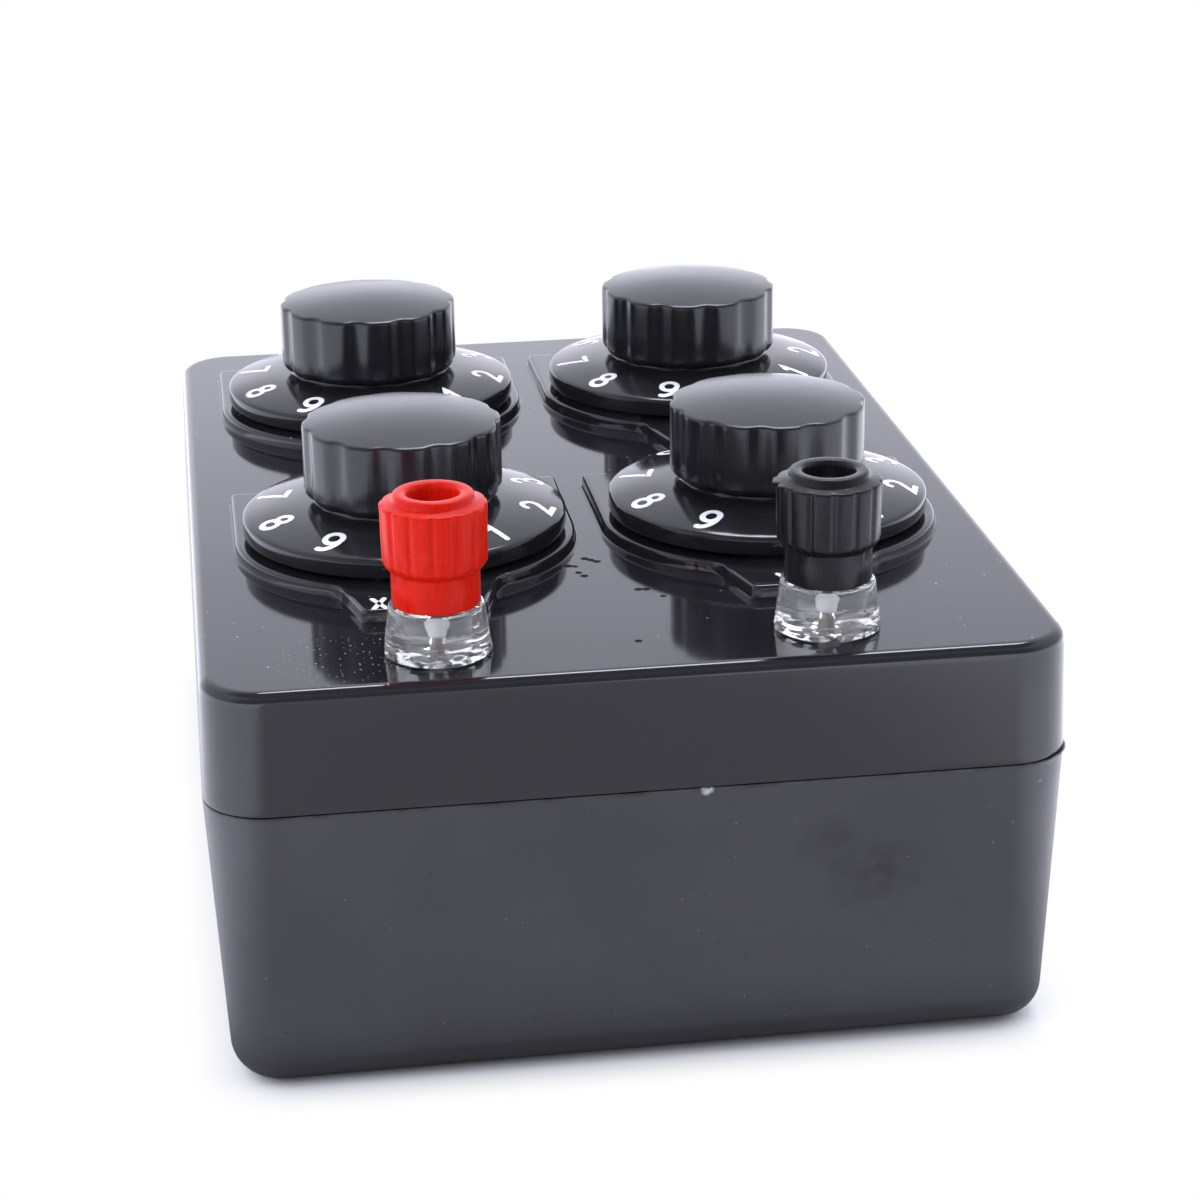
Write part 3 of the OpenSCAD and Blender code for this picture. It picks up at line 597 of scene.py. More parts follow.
def dial_digits(decade):
    """The digits 0 to 9 round a dial's face, with their feet outwards."""
    cx, cy = DIAL_PLACES[decade]
    shape = Shape()
    for k in range(DIGITS):
        a = radians(DIAL_TURNS[decade] + 360 / DIGITS * k)
        out, aside = Vector((sin(a), -cos(a))), Vector((cos(a), sin(a)))

        def place(u, v, height):
            p = out * (DIGIT_OUTER_R - v) + aside * u
            return cx + p.x, cy + p.y, face_height(p.length) + height

        for path in GLYPHS[str(k)]:
            ink_stroke(shape, [(u * DIGIT_W, v * DIGIT_H) for u, v in path], DIGIT_INK, place)
    return shape.make(f"{decade}_dial_digits", f"{decade}_rotor", INK_CREASE)


LABEL_H = 3.2
LABEL_W = 1.55
LABEL_INK = 0.62
LABEL_FOOT = 27.4
LABEL_PITCH = {5: 2.9, 4: 3.8, 3: 5.2, 2: 5.6}


def tab_label(decade):
    """The multiplier printed on a plateau's tab."""
    cx, cy = DIAL_PLACES[decade]
    text = MULTIPLIERS[decade]
    pitch = LABEL_PITCH[len(text)]
    shape = Shape()
    for i, letter in enumerate(text):
        across = cx + (i - (len(text) - 1) / 2) * pitch

        def place(u, v, height):
            return across + u, cy - LABEL_FOOT + v, PLATEAU_TOP + height

        for path in GLYPHS[letter]:
            ink_stroke(shape, [(u * LABEL_W, v * LABEL_H) for u, v in path], LABEL_INK, place)
    return shape.make(f"{decade}_tab_label", "case", INK_CREASE)


# Binding posts

POST_CREASE = 50
CAP_R = 5.05
LOBE_R = 6.05
LOBES = 14
GROOVE_D = 0.24
GROOVE_SHARE = 0.26
LOBE_FOOT = CAP_LOW[2] + 4.3
LOBE_TOP = CAP_LOW[2] + 11.8
LOBE_DRAFT = 0.1
RING_R = 4.6
MOUTH_R = 2.95
CAP_HOLLOW_R = 3.85
CAP_HOLLOW_TOP = CAP_LOW[2] + 6.6
CAP_STEPS = LOBES * 24
CAP_TURN = 0.11
CAP_UNEVEN = 0.035
CAP_SEED = {"red": 11.0, "black": 47.0}
CAP_FLASH = {"red": 0.12, "black": 0.75}
FLASH_ANGLE = radians(182)
FLASH_SPREAD = radians(24)


def screw_cap(colour):
    """A post's cap: plain skirt, grooved grip, sloping shoulder and a low ring round the mouth."""
    x, y = POST_PLACES[colour]
    seed, flash = CAP_SEED[colour], CAP_FLASH[colour]

    def lobed(full, valley, z, flash_share=0.0):
        """A ring of flat lobes with narrow grooves between them, and moulding flash at one side."""
        points = []
        for i in range(CAP_STEPS):
            side = abs(2 * ((i / CAP_STEPS * LOBES) % 1) - 1)
            groove = exp(-((1 - side) / GROOVE_SHARE) ** 2)
            a = 2 * pi * i / CAP_STEPS + CAP_TURN
            r = full + (valley - full) * groove
            r += CAP_UNEVEN * noise.noise((cos(a) * 3 + seed, sin(a) * 3, z * 0.3))
            near = max(1 - abs((a - FLASH_ANGLE + pi) % (2 * pi) - pi) / FLASH_SPREAD, 0)
            ragged = 0.45 + 0.9 * noise.noise((a * 9, seed, 0.5))
            r += flash * flash_share * sqrt(near) * max(ragged, 0)
            points.append(at(x, y, r, a, z))
        return points

    def plain(section):
        return [circle(x, y, r, z, CAP_STEPS) for r, z in section]

    foot, top = CAP_LOW[2], CAP_HIGH[2]
    valley = LOBE_R - GROOVE_D
    low_r, low_valley = LOBE_R - LOBE_DRAFT, valley - LOBE_DRAFT
    inside = [(MOUTH_R, CAP_HOLLOW_TOP), (CAP_HOLLOW_R, CAP_HOLLOW_TOP), (CAP_HOLLOW_R, foot + 0.1),
              (CAP_HOLLOW_R + 0.1, foot)]
    skirt = [(CAP_R - 0.2, foot), (CAP_R - 0.05, foot + 0.06), (CAP_R, foot + 0.25), (CAP_R, foot + 2.4),
             (CAP_R, LOBE_FOOT - 0.4)]
    grip = [(CAP_R + 0.05, CAP_R + 0.02, LOBE_FOOT - 0.2), (CAP_R + 0.3, CAP_R + 0.2, LOBE_FOOT - 0.05),
            (low_r - 0.2, low_valley - 0.15, LOBE_FOOT + 0.4),
            (low_r - 0.05, low_valley - 0.03, LOBE_FOOT + 0.65),
            (low_r, low_valley, LOBE_FOOT + 1), (LOBE_R - 0.05, valley - 0.05, LOBE_FOOT + 3.6),
            (LOBE_R, valley, LOBE_TOP - 0.7), (LOBE_R, valley, LOBE_TOP - 0.3, 0.35),
            (LOBE_R - 0.04, valley - 0.02, LOBE_TOP - 0.12, 1.0),
            (LOBE_R - 0.12, valley - 0.06, LOBE_TOP - 0.03, 0.9),
            (LOBE_R - 0.26, valley - 0.12, LOBE_TOP, 0.3), (LOBE_R - 0.5, valley - 0.25, LOBE_TOP + 0.05)]
    ring = [(RING_R + 0.5, LOBE_TOP + 0.17), (RING_R + 0.18, LOBE_TOP + 0.26),
            (RING_R + 0.06, LOBE_TOP + 0.34), (RING_R, top - 0.32), (RING_R - 0.08, top - 0.16),
            (RING_R - 0.25, top - 0.04), (RING_R - 0.5, top), (MOUTH_R + 0.5, top - 0.01),
            (MOUTH_R + 0.22, top - 0.1), (MOUTH_R + 0.05, top - 0.35), (MOUTH_R, top - 0.8)]
    shape = Shape()
    shape.loft(plain(inside + skirt) + [lobed(*g) for g in grip] + plain(ring), closed=True)
    return shape.make(f"{colour}_cap_moulding", f"{colour}_screw_cap", POST_CREASE)


STUD_R = 2.8
SOCKET_R = 2.02
CONE_R = 1.35
CONE_H = 3.6
SHANK_R = 0.6
SHANK_STEP = 0.08
STUD_BITE = 0.05
STUD_STEPS = 64
STUD_CREASE = 40
THREAD_PITCH = 0.7
THREAD_D = 0.3
THREAD_SLICES = 6
CLEAR_STEPS = 120
CLEAR_SEED = {"red": 5.0, "black": 23.0}
CLEAR_UNEVEN = 0.14
UNDER_HOLLOW = 0.28
UNDER_UNEVEN = 0.34
UNDER_RADII = (1.6, 2.1, 2.6, 3.1, 3.6, 4.1, 4.6)


def thread_rings(x, y, low, high):
    """Rings down the stud's screw thread, which fades out at both ends."""
    count = ceil((high - low) / THREAD_PITCH * THREAD_SLICES)
    rings = []
    for k in range(count + 1):
        z = high + (low - high) * k / count
        fade = smooth(z - low, 0, THREAD_PITCH) * smooth(high - z, 0, THREAD_PITCH)
        ring = []
        for i in range(STUD_STEPS):
            share = i / STUD_STEPS
            depth = abs(2 * ((z / THREAD_PITCH - share) % 1) - 1)
            ring.append(at(x, y, STUD_R - THREAD_D * depth * fade, 2 * pi * share, z))
        rings.append(ring)
    return rings


def turned_stud(colour):
    """A post's stud: socket head in the cap, and a cone and a slim shank that show in the clear base."""
    x, y = POST_PLACES[colour]
    foot, top = STUD_LOW[2], STUD_HIGH[2]
    seat = CLEAR_HIGH[2]
    head = [(SOCKET_R, seat + 0.6), (SOCKET_R, top - 0.35), (SOCKET_R + 0.3, top), (STUD_R - 0.25, top),
            (STUD_R, top - 0.25)]
    shank = [(CONE_R, seat + 0.02), (CONE_R, seat - 0.2), (SHANK_R + SHANK_STEP, seat - CONE_H),
             (SHANK_R, seat - CONE_H - 0.15), (SHANK_R, LID_TOP - 0.3), (STUD_R, LID_TOP - 0.4),
             (STUD_R, LID_UNDER), (STUD_R, foot + 0.3), (STUD_R - 0.3, foot)]
    rings = [circle(x, y, r, z, STUD_STEPS) for r, z in head]
    rings += thread_rings(x, y, seat + 0.2, top - 0.35)
    rings += [circle(x, y, r, z, STUD_STEPS) for r, z in shank]
    shape = Shape()
    shape.capped(rings)
    return shape.make(f"{colour}_turned_stud", "case", STUD_CREASE)


def clear_foot(colour):
    """A post's clear base: a flared moulding, slightly uneven, that grips the stud's cone and shank."""
    x, y = POST_PLACES[colour]
    seed = CLEAR_SEED[colour]
    foot, top = CLEAR_LOW[2] + 0.02, CLEAR_HIGH[2] - 0.02
    cone_r, shank_r = CONE_R - STUD_BITE, SHANK_R - STUD_BITE
    section = [(shank_r, foot)] + [(r, foot + UNDER_HOLLOW) for r in UNDER_RADII]
    section += [(5.3, foot, 0.1), (5.85, foot + 0.05, 0.4), (6.12, foot + 0.22, 1), (6.17, foot + 0.5, 1),
                (6.1, foot + 0.9, 0.8), (6.01, foot + 1.5, 0.6), (5.89, foot + 2.5, 0.4),
                (5.77, foot + 3.5, 0.3), (5.66, foot + 4.4, 0.25), (5.58, top - 0.8, 0.2),
                (5.54, top - 0.45, 0.2), (5.46, top - 0.15, 0.1), (5.3, top - 0.03, 0.1), (5.05, top)]
    section += [(cone_r, top), (cone_r, top - 0.2), (shank_r + SHANK_STEP, top - CONE_H)]
    rings = []
    for r, z, *lump in section:
        ring = []
        for px, py, pz in circle(x, y, r, z, CLEAR_STEPS):
            out = noise.noise(((px - x) * 0.4 + seed, (py - y) * 0.4, pz * 0.6))
            push = 1 + CLEAR_UNEVEN * out * sum(lump) / r
            if r in UNDER_RADII:
                pz += UNDER_UNEVEN * noise.noise((px * 0.6, py * 0.6, seed))
            ring.append((x + (px - x) * push, y + (py - y) * push, pz))
        rings.append(ring)
    shape = Shape()
    shape.loft(rings, closed=True)
    return shape.make(f"{colour}_clear_foot", "case", POST_CREASE)


FILM_R = 5.55
FILM_RINGS = 9
FILM_LIFT = 0.66
FILM_T = 0.22
FILM_UNEVEN = 0.14
FILM_SEED = {"red": 31.0, "black": 67.0}


def foot_film(colour):
    """A cloudy film of pale and dark patches under a post's clear base, seen through it: painted reflections
    and shade in the clear plastic.
    """
    x, y = POST_PLACES[colour]
    foot = CLEAR_LOW[2] + FILM_LIFT
    inner = SHANK_R + 0.5
    radii = [inner + (FILM_R - inner) * i / FILM_RINGS for i in range(FILM_RINGS + 1)]
    rings = []
    for r in radii:
        lumpy = []
        for px, py, pz in circle(x, y, r, foot + FILM_T, CLEAR_STEPS):
            lump = noise.noise((px * 0.8, py * 0.8, FILM_SEED[colour]))
            lumpy.append((px, py, pz + FILM_UNEVEN * lump))
        rings.append(lumpy)
    rings += [circle(x, y, r, foot, CLEAR_STEPS) for r in reversed(radii)]
    shape = Shape()
    shape.loft(rings, closed=True)
    return shape.make(f"{colour}_foot_film", "case", POST_CREASE)


# Finishes

def operator(kind):
    """An operator on values, and its reflected form."""
    return lambda a, b: a.sum(kind, a, b), lambda b, a: b.sum(kind, a, b)


class Value:
    """A socket that can be used in arithmetic."""

    def __init__(self, nodes, socket):
        self.nodes, self.socket = nodes, socket

    def sum(self, kind, a, b):
        return self.nodes.node("Math", {0: a, 1: b}, operation=kind)

    __add__, __radd__ = operator("ADD")
    __sub__, __rsub__ = operator("SUBTRACT")
    __mul__, __rmul__ = operator("MULTIPLY")
    __truediv__, __rtruediv__ = operator("DIVIDE")
    __pow__, __rpow__ = operator("POWER")

    def most(self, other):
        return self.sum("MAXIMUM", self, other)

    def size(self):
        return self.sum("ABSOLUTE", self, 0)

    def other(self, output):
        """Another output of the same node."""
        return Value(self.nodes, self.socket.node.outputs[output])

    def step(self, low, high):
        """0 at low, 1 at high, eased between."""
        sockets = {"Value": self, "From Min": low, "From Max": high}
        return self.nodes.node("MapRange", sockets, interpolation_type="SMOOTHSTEP")


class Nodes:
    """A shader tree that is filled by one method."""

    def __init__(self, tree):
        self.tree = tree
        tree.nodes.clear()

    def node(self, kind, inputs=None, output=0, **settings):
        """Adds a node with its sockets' values or links and its settings. Gives one of its outputs."""
        made = self.tree.nodes.new("ShaderNode" + kind)
        for name, value in settings.items():
            setattr(made, name, value)
        for name, value in (inputs or {}).items():
            socket = made.inputs[name]
            if isinstance(value, Value):
                self.tree.links.new(value.socket, socket)
            else:
                socket.default_value = value
        return Value(self, made.outputs[output]) if made.outputs else None

    def mix(self, share, a, b):
        """Blends two colours."""
        tinted = [c if isinstance(c, Value) else (*c, 1) for c in (a, b)]
        return self.node("Mix", {0: share, 6: tinted[0], 7: tinted[1]}, 2, data_type="RGBA")

    def stretched(self, place, x, y, z):
        return self.node("VectorMath", {0: place, 1: (x, y, z)}, operation="MULTIPLY")

    def turned(self, place, angle, axis="Z_AXIS"):
        sockets = {"Vector": place, "Angle": radians(angle)}
        return self.node("VectorRotate", sockets, rotation_type=axis)

    def parts(self, place):
        """The three numbers of a vector."""
        x = self.node("SeparateXYZ", {0: place})
        return x, x.other(1), x.other(2)


class Finish(Nodes):
    """A material. Patterns are given in millimetres on the piece itself."""

    def __init__(self, name):
        self.material = bpy.data.materials.new(name)
        self.material.use_nodes = True
        super().__init__(self.material.node_tree)
        self.place = self.node("TexCoord", output="Object")

    def height(self):
        """Height above the floor in millimetres."""
        return self.parts(self.place)[2] / MM

    def texture(self, place, scale, detail, rough):
        sockets = {"Vector": place, "Scale": scale, "Detail": detail, "Roughness": rough}
        return self.node("TexNoise", sockets)

    def cloud(self, size, detail, place=None):
        """Soft noise from 0 to 1, with features of a size in millimetres."""
        return self.texture(place or self.place, 1 / (size * MM), detail, 0.55)

    def wall(self):
        """Coordinates in which an upright wall lies flat, whichever way it faces."""
        aside = self.stretched(self.turned(self.place, 45), sqrt(2), 1, 1)
        return self.turned(aside, 90, "X_AXIS")

    def specks(self, pitch, share, reach, place=None):
        """Small dots on a flat face: a share of the cells of a pitch in millimetres holds one."""
        cells = {"Vector": place or self.place, "Scale": 1 / (pitch * MM)}
        distance = self.node("TexVoronoi", cells, "Distance", voronoi_dimensions="2D")
        pick = self.node("SeparateColor", {0: distance.other("Color")})
        room = (pick - (1 - share)) * (reach / share)
        return (room - distance).step(0, 0.06)

    def facing_up(self):
        """1 where the piece lies level, 0 on its walls."""
        return self.parts(self.node("TexCoord", output="Normal"))[2].step(0.7, 0.95)

    def near(self, x, y, z, reach):
        """1 close to a point given in millimetres, 0 beyond the reach."""
        spot = (x * MM, y * MM, z * MM)
        away = self.node("VectorMath", {0: self.place, 1: spot}, "Value", operation="DISTANCE")
        return 1 - away.step(0.3 * reach * MM, reach * MM)

    def scratches(self, angle, length, width, share=0.06):
        """Fine straight marks that lie along an angle, with sizes in millimetres."""
        pitches = [1 / (size * MM) for size in (length, width, width * 8)]
        lines = self.texture(self.stretched(self.turned(self.place, angle), *pitches), 1.0, 1.0, 0.4)
        return lines.step(0.74 - share, 0.80 - share)

    def surface(self, tint, rough, height, strength, distance, **more):
        """Ends the tree with the main shader, bumped by a height over a distance in millimetres."""
        bump = {"Height": height, "Strength": strength, "Distance": distance * MM}
        sockets = {name.replace("_", " "): value for name, value in more.items()}
        sockets |= {"Base Color": tint, "Roughness": rough, "Normal": self.node("Bump", bump)}
        return self.finished(self.node("BsdfPrincipled", sockets))

    def finished(self, shader):
        """Links a shader to the tree's end and gives the material."""
        self.node("OutputMaterial", {"Surface": shader})
        return self.material


def seam_grime(finish):
    """Dark dirt along the seam, in patches."""
    near = 1 - (finish.height() - SEAM).size().step(0.15, 0.75)
    return near * finish.cloud(5, 4).step(0.42, 0.62)


# Marks, a painted highlight at the seam and darker patches on the base, each as its place and its reach in
# millimetres
LID_SCUFFS = ((-1.9, -31.9, 0.8), (-1.2, -32.5, 0.7), (-0.5, -33.2, 0.8), (-3.3, -36.8, 0.7),
              (-2.8, -38.0, 0.8), (-4.2, -34.2, 0.9), (-3.4, -34.5, 0.6), (3.0, -43.8, 0.8),
              (3.9, -43.9, 0.8), (5.5, -46.6, 0.6), (0.3, -60.6, 0.7))
LID_DUST = (-32.5, -60.0, 11.0)
SEAM_GLINT = (6.6, -69.9, 35.2, 1.0)
BASE_DARK_PATCHES = ((20.4, -69.3, 27.6, 5.0), (24.5, -69.3, 23.3, 6.0), (28.6, -69.3, 23.1, 5.0),
                (17.0, -69.3, 22.0, 22.0))


def lid_plastic():
    f = Finish("lid_plastic")
    level = f.height().step(LID_TOP - LID_ROUND - 0.4, LID_TOP - LID_ROUND)
    dusty = f.near(LID_DUST[0], LID_DUST[1], LID_TOP, LID_DUST[2])
    sparse = f.specks(3.2, 0.4, 0.07) * f.cloud(18, 2).step(0.4, 0.65)
    dust = (f.specks(0.7, 0.5, 0.17) * dusty).most(sparse) * level * f.facing_up()
    scuffs = 0
    for x, y, reach in LID_SCUFFS:
        scuffs = f.near(x, y, LID_TOP, reach).most(scuffs)
    flakes = (scuffs + f.cloud(0.7, 3) - 1).step(0, 0.08)
    lines = f.scratches(24, 18, 0.07).most(f.scratches(-52, 12, 0.06)) * f.cloud(22, 2).step(0.5, 0.72)
    blotches = f.cloud(26, 4).step(0.35, 0.75)
    tint = f.mix(f.cloud(40, 3), (0.0105, 0.0105, 0.0125), (0.0145, 0.0145, 0.0165))
    # The lid's walls get a darker tint than its top: painted shade.
    tint = f.mix(level, (0.008, 0.0078, 0.009), tint)
    tint = f.mix(dust * 0.8, tint, (0.6, 0.59, 0.56))
    tint = f.mix(flakes * 0.9, tint, (0.006, 0.006, 0.005))
    tint = f.mix(seam_grime(f) * 0.7, tint, (0.006, 0.005, 0.005))
    rough = 0.07 + blotches * 0.03 + lines * 0.06 + dust * 0.4 + flakes * 0.9 + (1 - level) * 0.16
    height = f.cloud(9, 2) * 0.05 + dust * 0.9 + flakes * 1.5 - lines * 0.1
    return f.surface(tint, rough, height, 0.16, 0.04, IOR=1.53)


def base_plastic():
    f = Finish("base_plastic")
    wall = f.wall()
    dust = f.specks(5, 0.3, 0.055, wall).most(f.specks(1.7, 0.04, 0.08, wall))
    dark = f.specks(9, 0.35, 0.06, wall)
    # A small pale spot at the seam: a painted highlight.
    seam_glint = f.near(*SEAM_GLINT) * f.cloud(0.6, 3).step(0.4, 0.55)
    rubbed = f.cloud(20, 5).step(0.45, 0.7)
    lines = f.scratches(8, 20, 0.12, 0.03)
    z = f.height()
    low = 1 - z.step(0.5, 9)
    tint = f.mix(f.cloud(26, 5).step(0.3, 0.7), (0.026, 0.0248, 0.029), (0.04, 0.0382, 0.046))
    # Darker towards the bottom, and nearly black on the foot's rounding: painted shade.
    tint = f.mix(low * 0.35, tint, (0.022, 0.021, 0.025))
    tint = f.mix((1 - z.step(0.3, 3)) * 0.9, tint, (0.005, 0.005, 0.005))
    # Darker patches on the right part of the base's front.
    blotches = 0
    for *place, reach in BASE_DARK_PATCHES:
        blotches = f.near(*place, reach) * min(3 / reach, 0.6) + blotches
    blotches = blotches * (0.4 + f.cloud(3, 4).step(0.35, 0.65) * 0.6)
    tint = f.mix(blotches, tint, (0.012, 0.011, 0.013))
    tint = f.mix(dust * 0.4, tint, (0.4, 0.4, 0.42))
    tint = f.mix(dark * 0.8, tint, (0.006, 0.006, 0.007))
    tint = f.mix(seam_glint, tint, (0.55, 0.55, 0.57))
    tint = f.mix(seam_grime(f) * 0.85, tint, (0.006, 0.005, 0.005))
    rough = 0.3 + f.cloud(9, 4) * 0.1 + rubbed * 0.05 + lines * 0.06 + dust * 0.2
    height = f.cloud(0.5, 3) * 0.35 + f.cloud(6, 3) * 0.4 + dust * 0.8 - lines * 0.2
    return f.surface(tint, rough, height, 0.12, 0.05, IOR=1.53)


def dial_plastic():
    f = Finish("dial_plastic")
    dust = f.specks(1.6, 0.12, 0.08) * f.cloud(8, 2).step(0.4, 0.6) * f.facing_up()
    lines = f.scratches(40, 9, 0.07, 0.05).most(f.scratches(-15, 12, 0.07, 0.04))
    lines = lines * f.cloud(11, 2).step(0.48, 0.7)
    tint = f.mix(f.cloud(12, 3), (0.011, 0.011, 0.0125), (0.016, 0.0155, 0.0175))
    tint = f.mix(dust * 0.4, tint, (0.45, 0.45, 0.45))
    rough = 0.1 + f.cloud(14, 4).step(0.3, 0.8) * 0.05 + lines * 0.06 + dust * 0.3
    height = f.cloud(7, 2) * 0.08 + dust * 0.6 - lines * 0.1
    return f.surface(tint, rough, height, 0.14, 0.04, IOR=1.46)


def knob_plastic():
    f = Finish("knob_plastic")
    crown = f.height().step(KNOB_TOP - KNOB_DOME - 0.2, KNOB_TOP - KNOB_DOME + 0.15)
    lines = f.scratches(33, 8, 0.06, 0.05).most(f.scratches(-64, 10, 0.06, 0.04))
    lines = lines * f.cloud(9, 2).step(0.5, 0.7) * crown
    handled = f.cloud(7, 4).step(0.38, 0.72)
    tint = f.mix(f.cloud(9, 3), (0.010, 0.0105, 0.0125), (0.015, 0.015, 0.0175))
    rough = 0.2 + handled * 0.04 + crown * 0.03 + lines * 0.06
    height = f.cloud(6, 2) * 0.06 + f.cloud(0.4, 2) * 0.02 - lines * 0.1
    return f.surface(tint, rough, height, 0.12, 0.04, IOR=1.47)


def cap_plastic(name, pale, deep, worn, shine, dull):
    """Streaky plastic with three tints, the strength of its gloss and its lowest roughness."""
    f = Finish(name)
    streak = f.cloud(1.0, 3, f.stretched(f.place, 3.0, 3.0, 0.35))
    rubbed = f.cloud(2.4, 4).step(0.52, 0.72)
    tint = f.mix(streak.step(0.3, 0.7), deep, pale)
    tint = f.mix(rubbed * 0.3, tint, worn)
    rough = dull + streak * 0.12 + rubbed * 0.1
    height = streak * 0.25 + f.cloud(0.5, 2) * 0.2
    return f.surface(tint, rough, height, 0.14, 0.06, IOR=1.5, Specular_IOR_Level=shine)


def clear_plastic():
    f = Finish("clear_plastic")
    swirl = f.cloud(2.4, 1) + f.cloud(1.2, 1, f.stretched(f.place, 1.0, 1.0, 0.5)) * 0.45
    tint = f.mix(f.cloud(2.5, 2), (0.93, 0.95, 0.94), (0.985, 0.99, 0.985))
    rough = 0.1 + f.cloud(2.0, 3).step(0.55, 0.8) * 0.08
    return f.surface(tint, rough, swirl, 0.4, 0.3, IOR=1.49, Transmission_Weight=0.94)


def painted_mottle():
    f = Finish("painted_mottle")
    blotch = f.cloud(2.2, 2).step(0.52, 0.6)
    # Pale and dark patches: painted reflections and shade seen through the clear plastic.
    tint = f.mix(f.cloud(1.1, 3).step(0.35, 0.65), (0.07, 0.066, 0.06), (0.42, 0.41, 0.38))
    return f.surface(tint, 0.5 + blotch * 0.2, f.cloud(0.6, 3), 0.4, 0.1, Alpha=blotch)


def stud_metal():
    """Plated head, pale cone and browned shank. Only the head is metallic: the cone's near-white tint is a
    painted reflection of plated metal.
    """
    f = Finish("stud_metal")
    z = f.height()
    cone_foot = CLEAR_HIGH[2] - CONE_H
    shank = 1 - z.step(cone_foot - 0.3, cone_foot + 0.2)
    tarnish = f.cloud(0.8, 3).step(0.4, 0.7)
    # The cone's near-white tint: a painted reflection of plated metal.
    tint = f.mix(tarnish, (0.97, 0.97, 0.95), (0.88, 0.88, 0.85))
    tint = f.mix(shank, tint, (0.17, 0.125, 0.085))
    head = z.step(CLEAR_HIGH[2] - 0.05, CLEAR_HIGH[2] + 0.1)
    tint = f.mix(head, tint, (0.66, 0.64, 0.6))
    return f.surface(tint, 0.3 + tarnish * 0.15, f.cloud(0.3, 2), 0.15, 0.03, Metallic=head)


def metal(name, bright, dull, rough):
    f = Finish(name)
    ring = f.cloud(0.35, 2, f.stretched(f.place, 0.25, 0.25, 1.0))
    tarnish = f.cloud(2.2, 4).step(0.4, 0.75)
    tint = f.mix(tarnish, bright, dull)
    return f.surface(tint, rough + tarnish * 0.15 + ring * 0.1, ring, 0.3, 0.03, Metallic=1.0)


def dull_stuff(name, pale, deep, rough, grain):
    f = Finish(name)
    fleck = f.cloud(grain, 4)
    tint = f.mix(fleck.step(0.3, 0.7), deep, pale)
    return f.surface(tint, rough + fleck * 0.15, fleck, 0.2, 0.05)


def resistor_lacquer():
    f = Finish("resistor_lacquer")
    band = f.cloud(1.3, 1).step(0.47, 0.53)
    tint = f.mix(band, (0.62, 0.5, 0.34), (0.3, 0.16, 0.08))
    rough = 0.35 + f.cloud(0.8, 3) * 0.2
    return f.surface(tint, rough, f.cloud(0.4, 2), 0.2, 0.04)


def print_ink():
    f = Finish("print_ink")
    worn = f.cloud(0.5, 4).step(0.56, 0.74)
    tint = f.mix(worn * 0.35, (0.9, 0.92, 0.95), (0.6, 0.61, 0.64))
    return f.surface(tint, 0.45 + worn * 0.2, f.cloud(0.25, 2), 0.25, 0.02)


FINISHES = {
    "base_plastic": base_plastic(),
    "lid_plastic": lid_plastic(),
    "dial_plastic": dial_plastic(),
    "knob_plastic": knob_plastic(),
    "red_cap_plastic": cap_plastic(
        "red_cap_plastic", (0.67, 0.0125, 0.002), (0.57, 0.008, 0.0015), (0.7, 0.04, 0.015), 0.13, 0.24),
    "black_cap_plastic": cap_plastic(
        "black_cap_plastic", (0.010, 0.0095, 0.0115), (0.007, 0.0066, 0.008), (0.02, 0.019, 0.022),
        0.24, 0.22),
    "clear_acrylic": clear_plastic(),
    "steel": metal("plated_steel", (0.66, 0.66, 0.68), (0.42, 0.42, 0.43), 0.24),
    "brass": metal("turned_brass", (0.83, 0.72, 0.5), (0.62, 0.5, 0.3), 0.2),
    "bronze": metal("spring_bronze", (0.76, 0.52, 0.3), (0.5, 0.32, 0.18), 0.26),
    "nylon": dull_stuff("nylon", (0.76, 0.74, 0.64), (0.68, 0.65, 0.54), 0.42, 1.2),
    "phenolic": dull_stuff("phenolic_board", (0.3, 0.16, 0.075), (0.22, 0.11, 0.05), 0.4, 0.6),
    "resistor": resistor_lacquer(),
    "wire": dull_stuff("wire_sleeve", (0.6, 0.05, 0.035), (0.46, 0.035, 0.025), 0.42, 1.5),
}
INK = print_ink()
STUD_METAL = stud_metal()
PAINTED_MOTTLE = painted_mottle()


def dress(piece, slot, *nodes, finish=None):
    """Gives a piece its finish, and hides the CAD nodes it stands for."""
    piece.data.materials.append(finish or FINISHES[slot])
    if nodes:
        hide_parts(*nodes)


for part in frame["record"]["subparts"]:
    solid = frame["nodes"][part["node"]]
    solid.data.materials.clear()
    solid.data.materials.append(FINISHES[part["material_slot"]])

dress(base_moulding(), "base_plastic", "base_box")
dress(lid_moulding(), "lid_plastic", "lid")
for decade in DECADES:
    dress(dial_skirt(decade), "dial_plastic", f"{decade}_dial")
    dress(knob_cap(decade), "knob_plastic", f"{decade}_knob")
    dress(dial_digits(decade), "dial_plastic", finish=INK)
    dress(tab_label(decade), "lid_plastic", finish=INK)
for colour in POSTS:
    dress(screw_cap(colour), f"{colour}_cap_plastic", f"{colour}_cap")
    dress(clear_foot(colour), "clear_acrylic", f"{colour}_clear_base")
    dress(foot_film(colour), "clear_acrylic", finish=PAINTED_MOTTLE)
    dress(turned_stud(colour), "brass", f"{colour}_stud", finish=STUD_METAL)


# Studio

FLOOR_HALF = 4.0
SHADOW_REACH = 4.6
SHADOW_SHIFT = 0.5
SHADOW_START = -3
SHADOW_CORNER = 8
FLOOR_TINT = 0.78
MIRRORED_FOOT_SHADE = 0.36
FOOT_SHADE = (0.5, 11)
SIDE_SHEEN = (5, 50)
FRONT_SHEEN = 0.96
BRIGHT_SHEEN = 2.3
LIGHT_TINT = (0.945, 0.96, 1.09)
WHITE = (1, 1, 1)


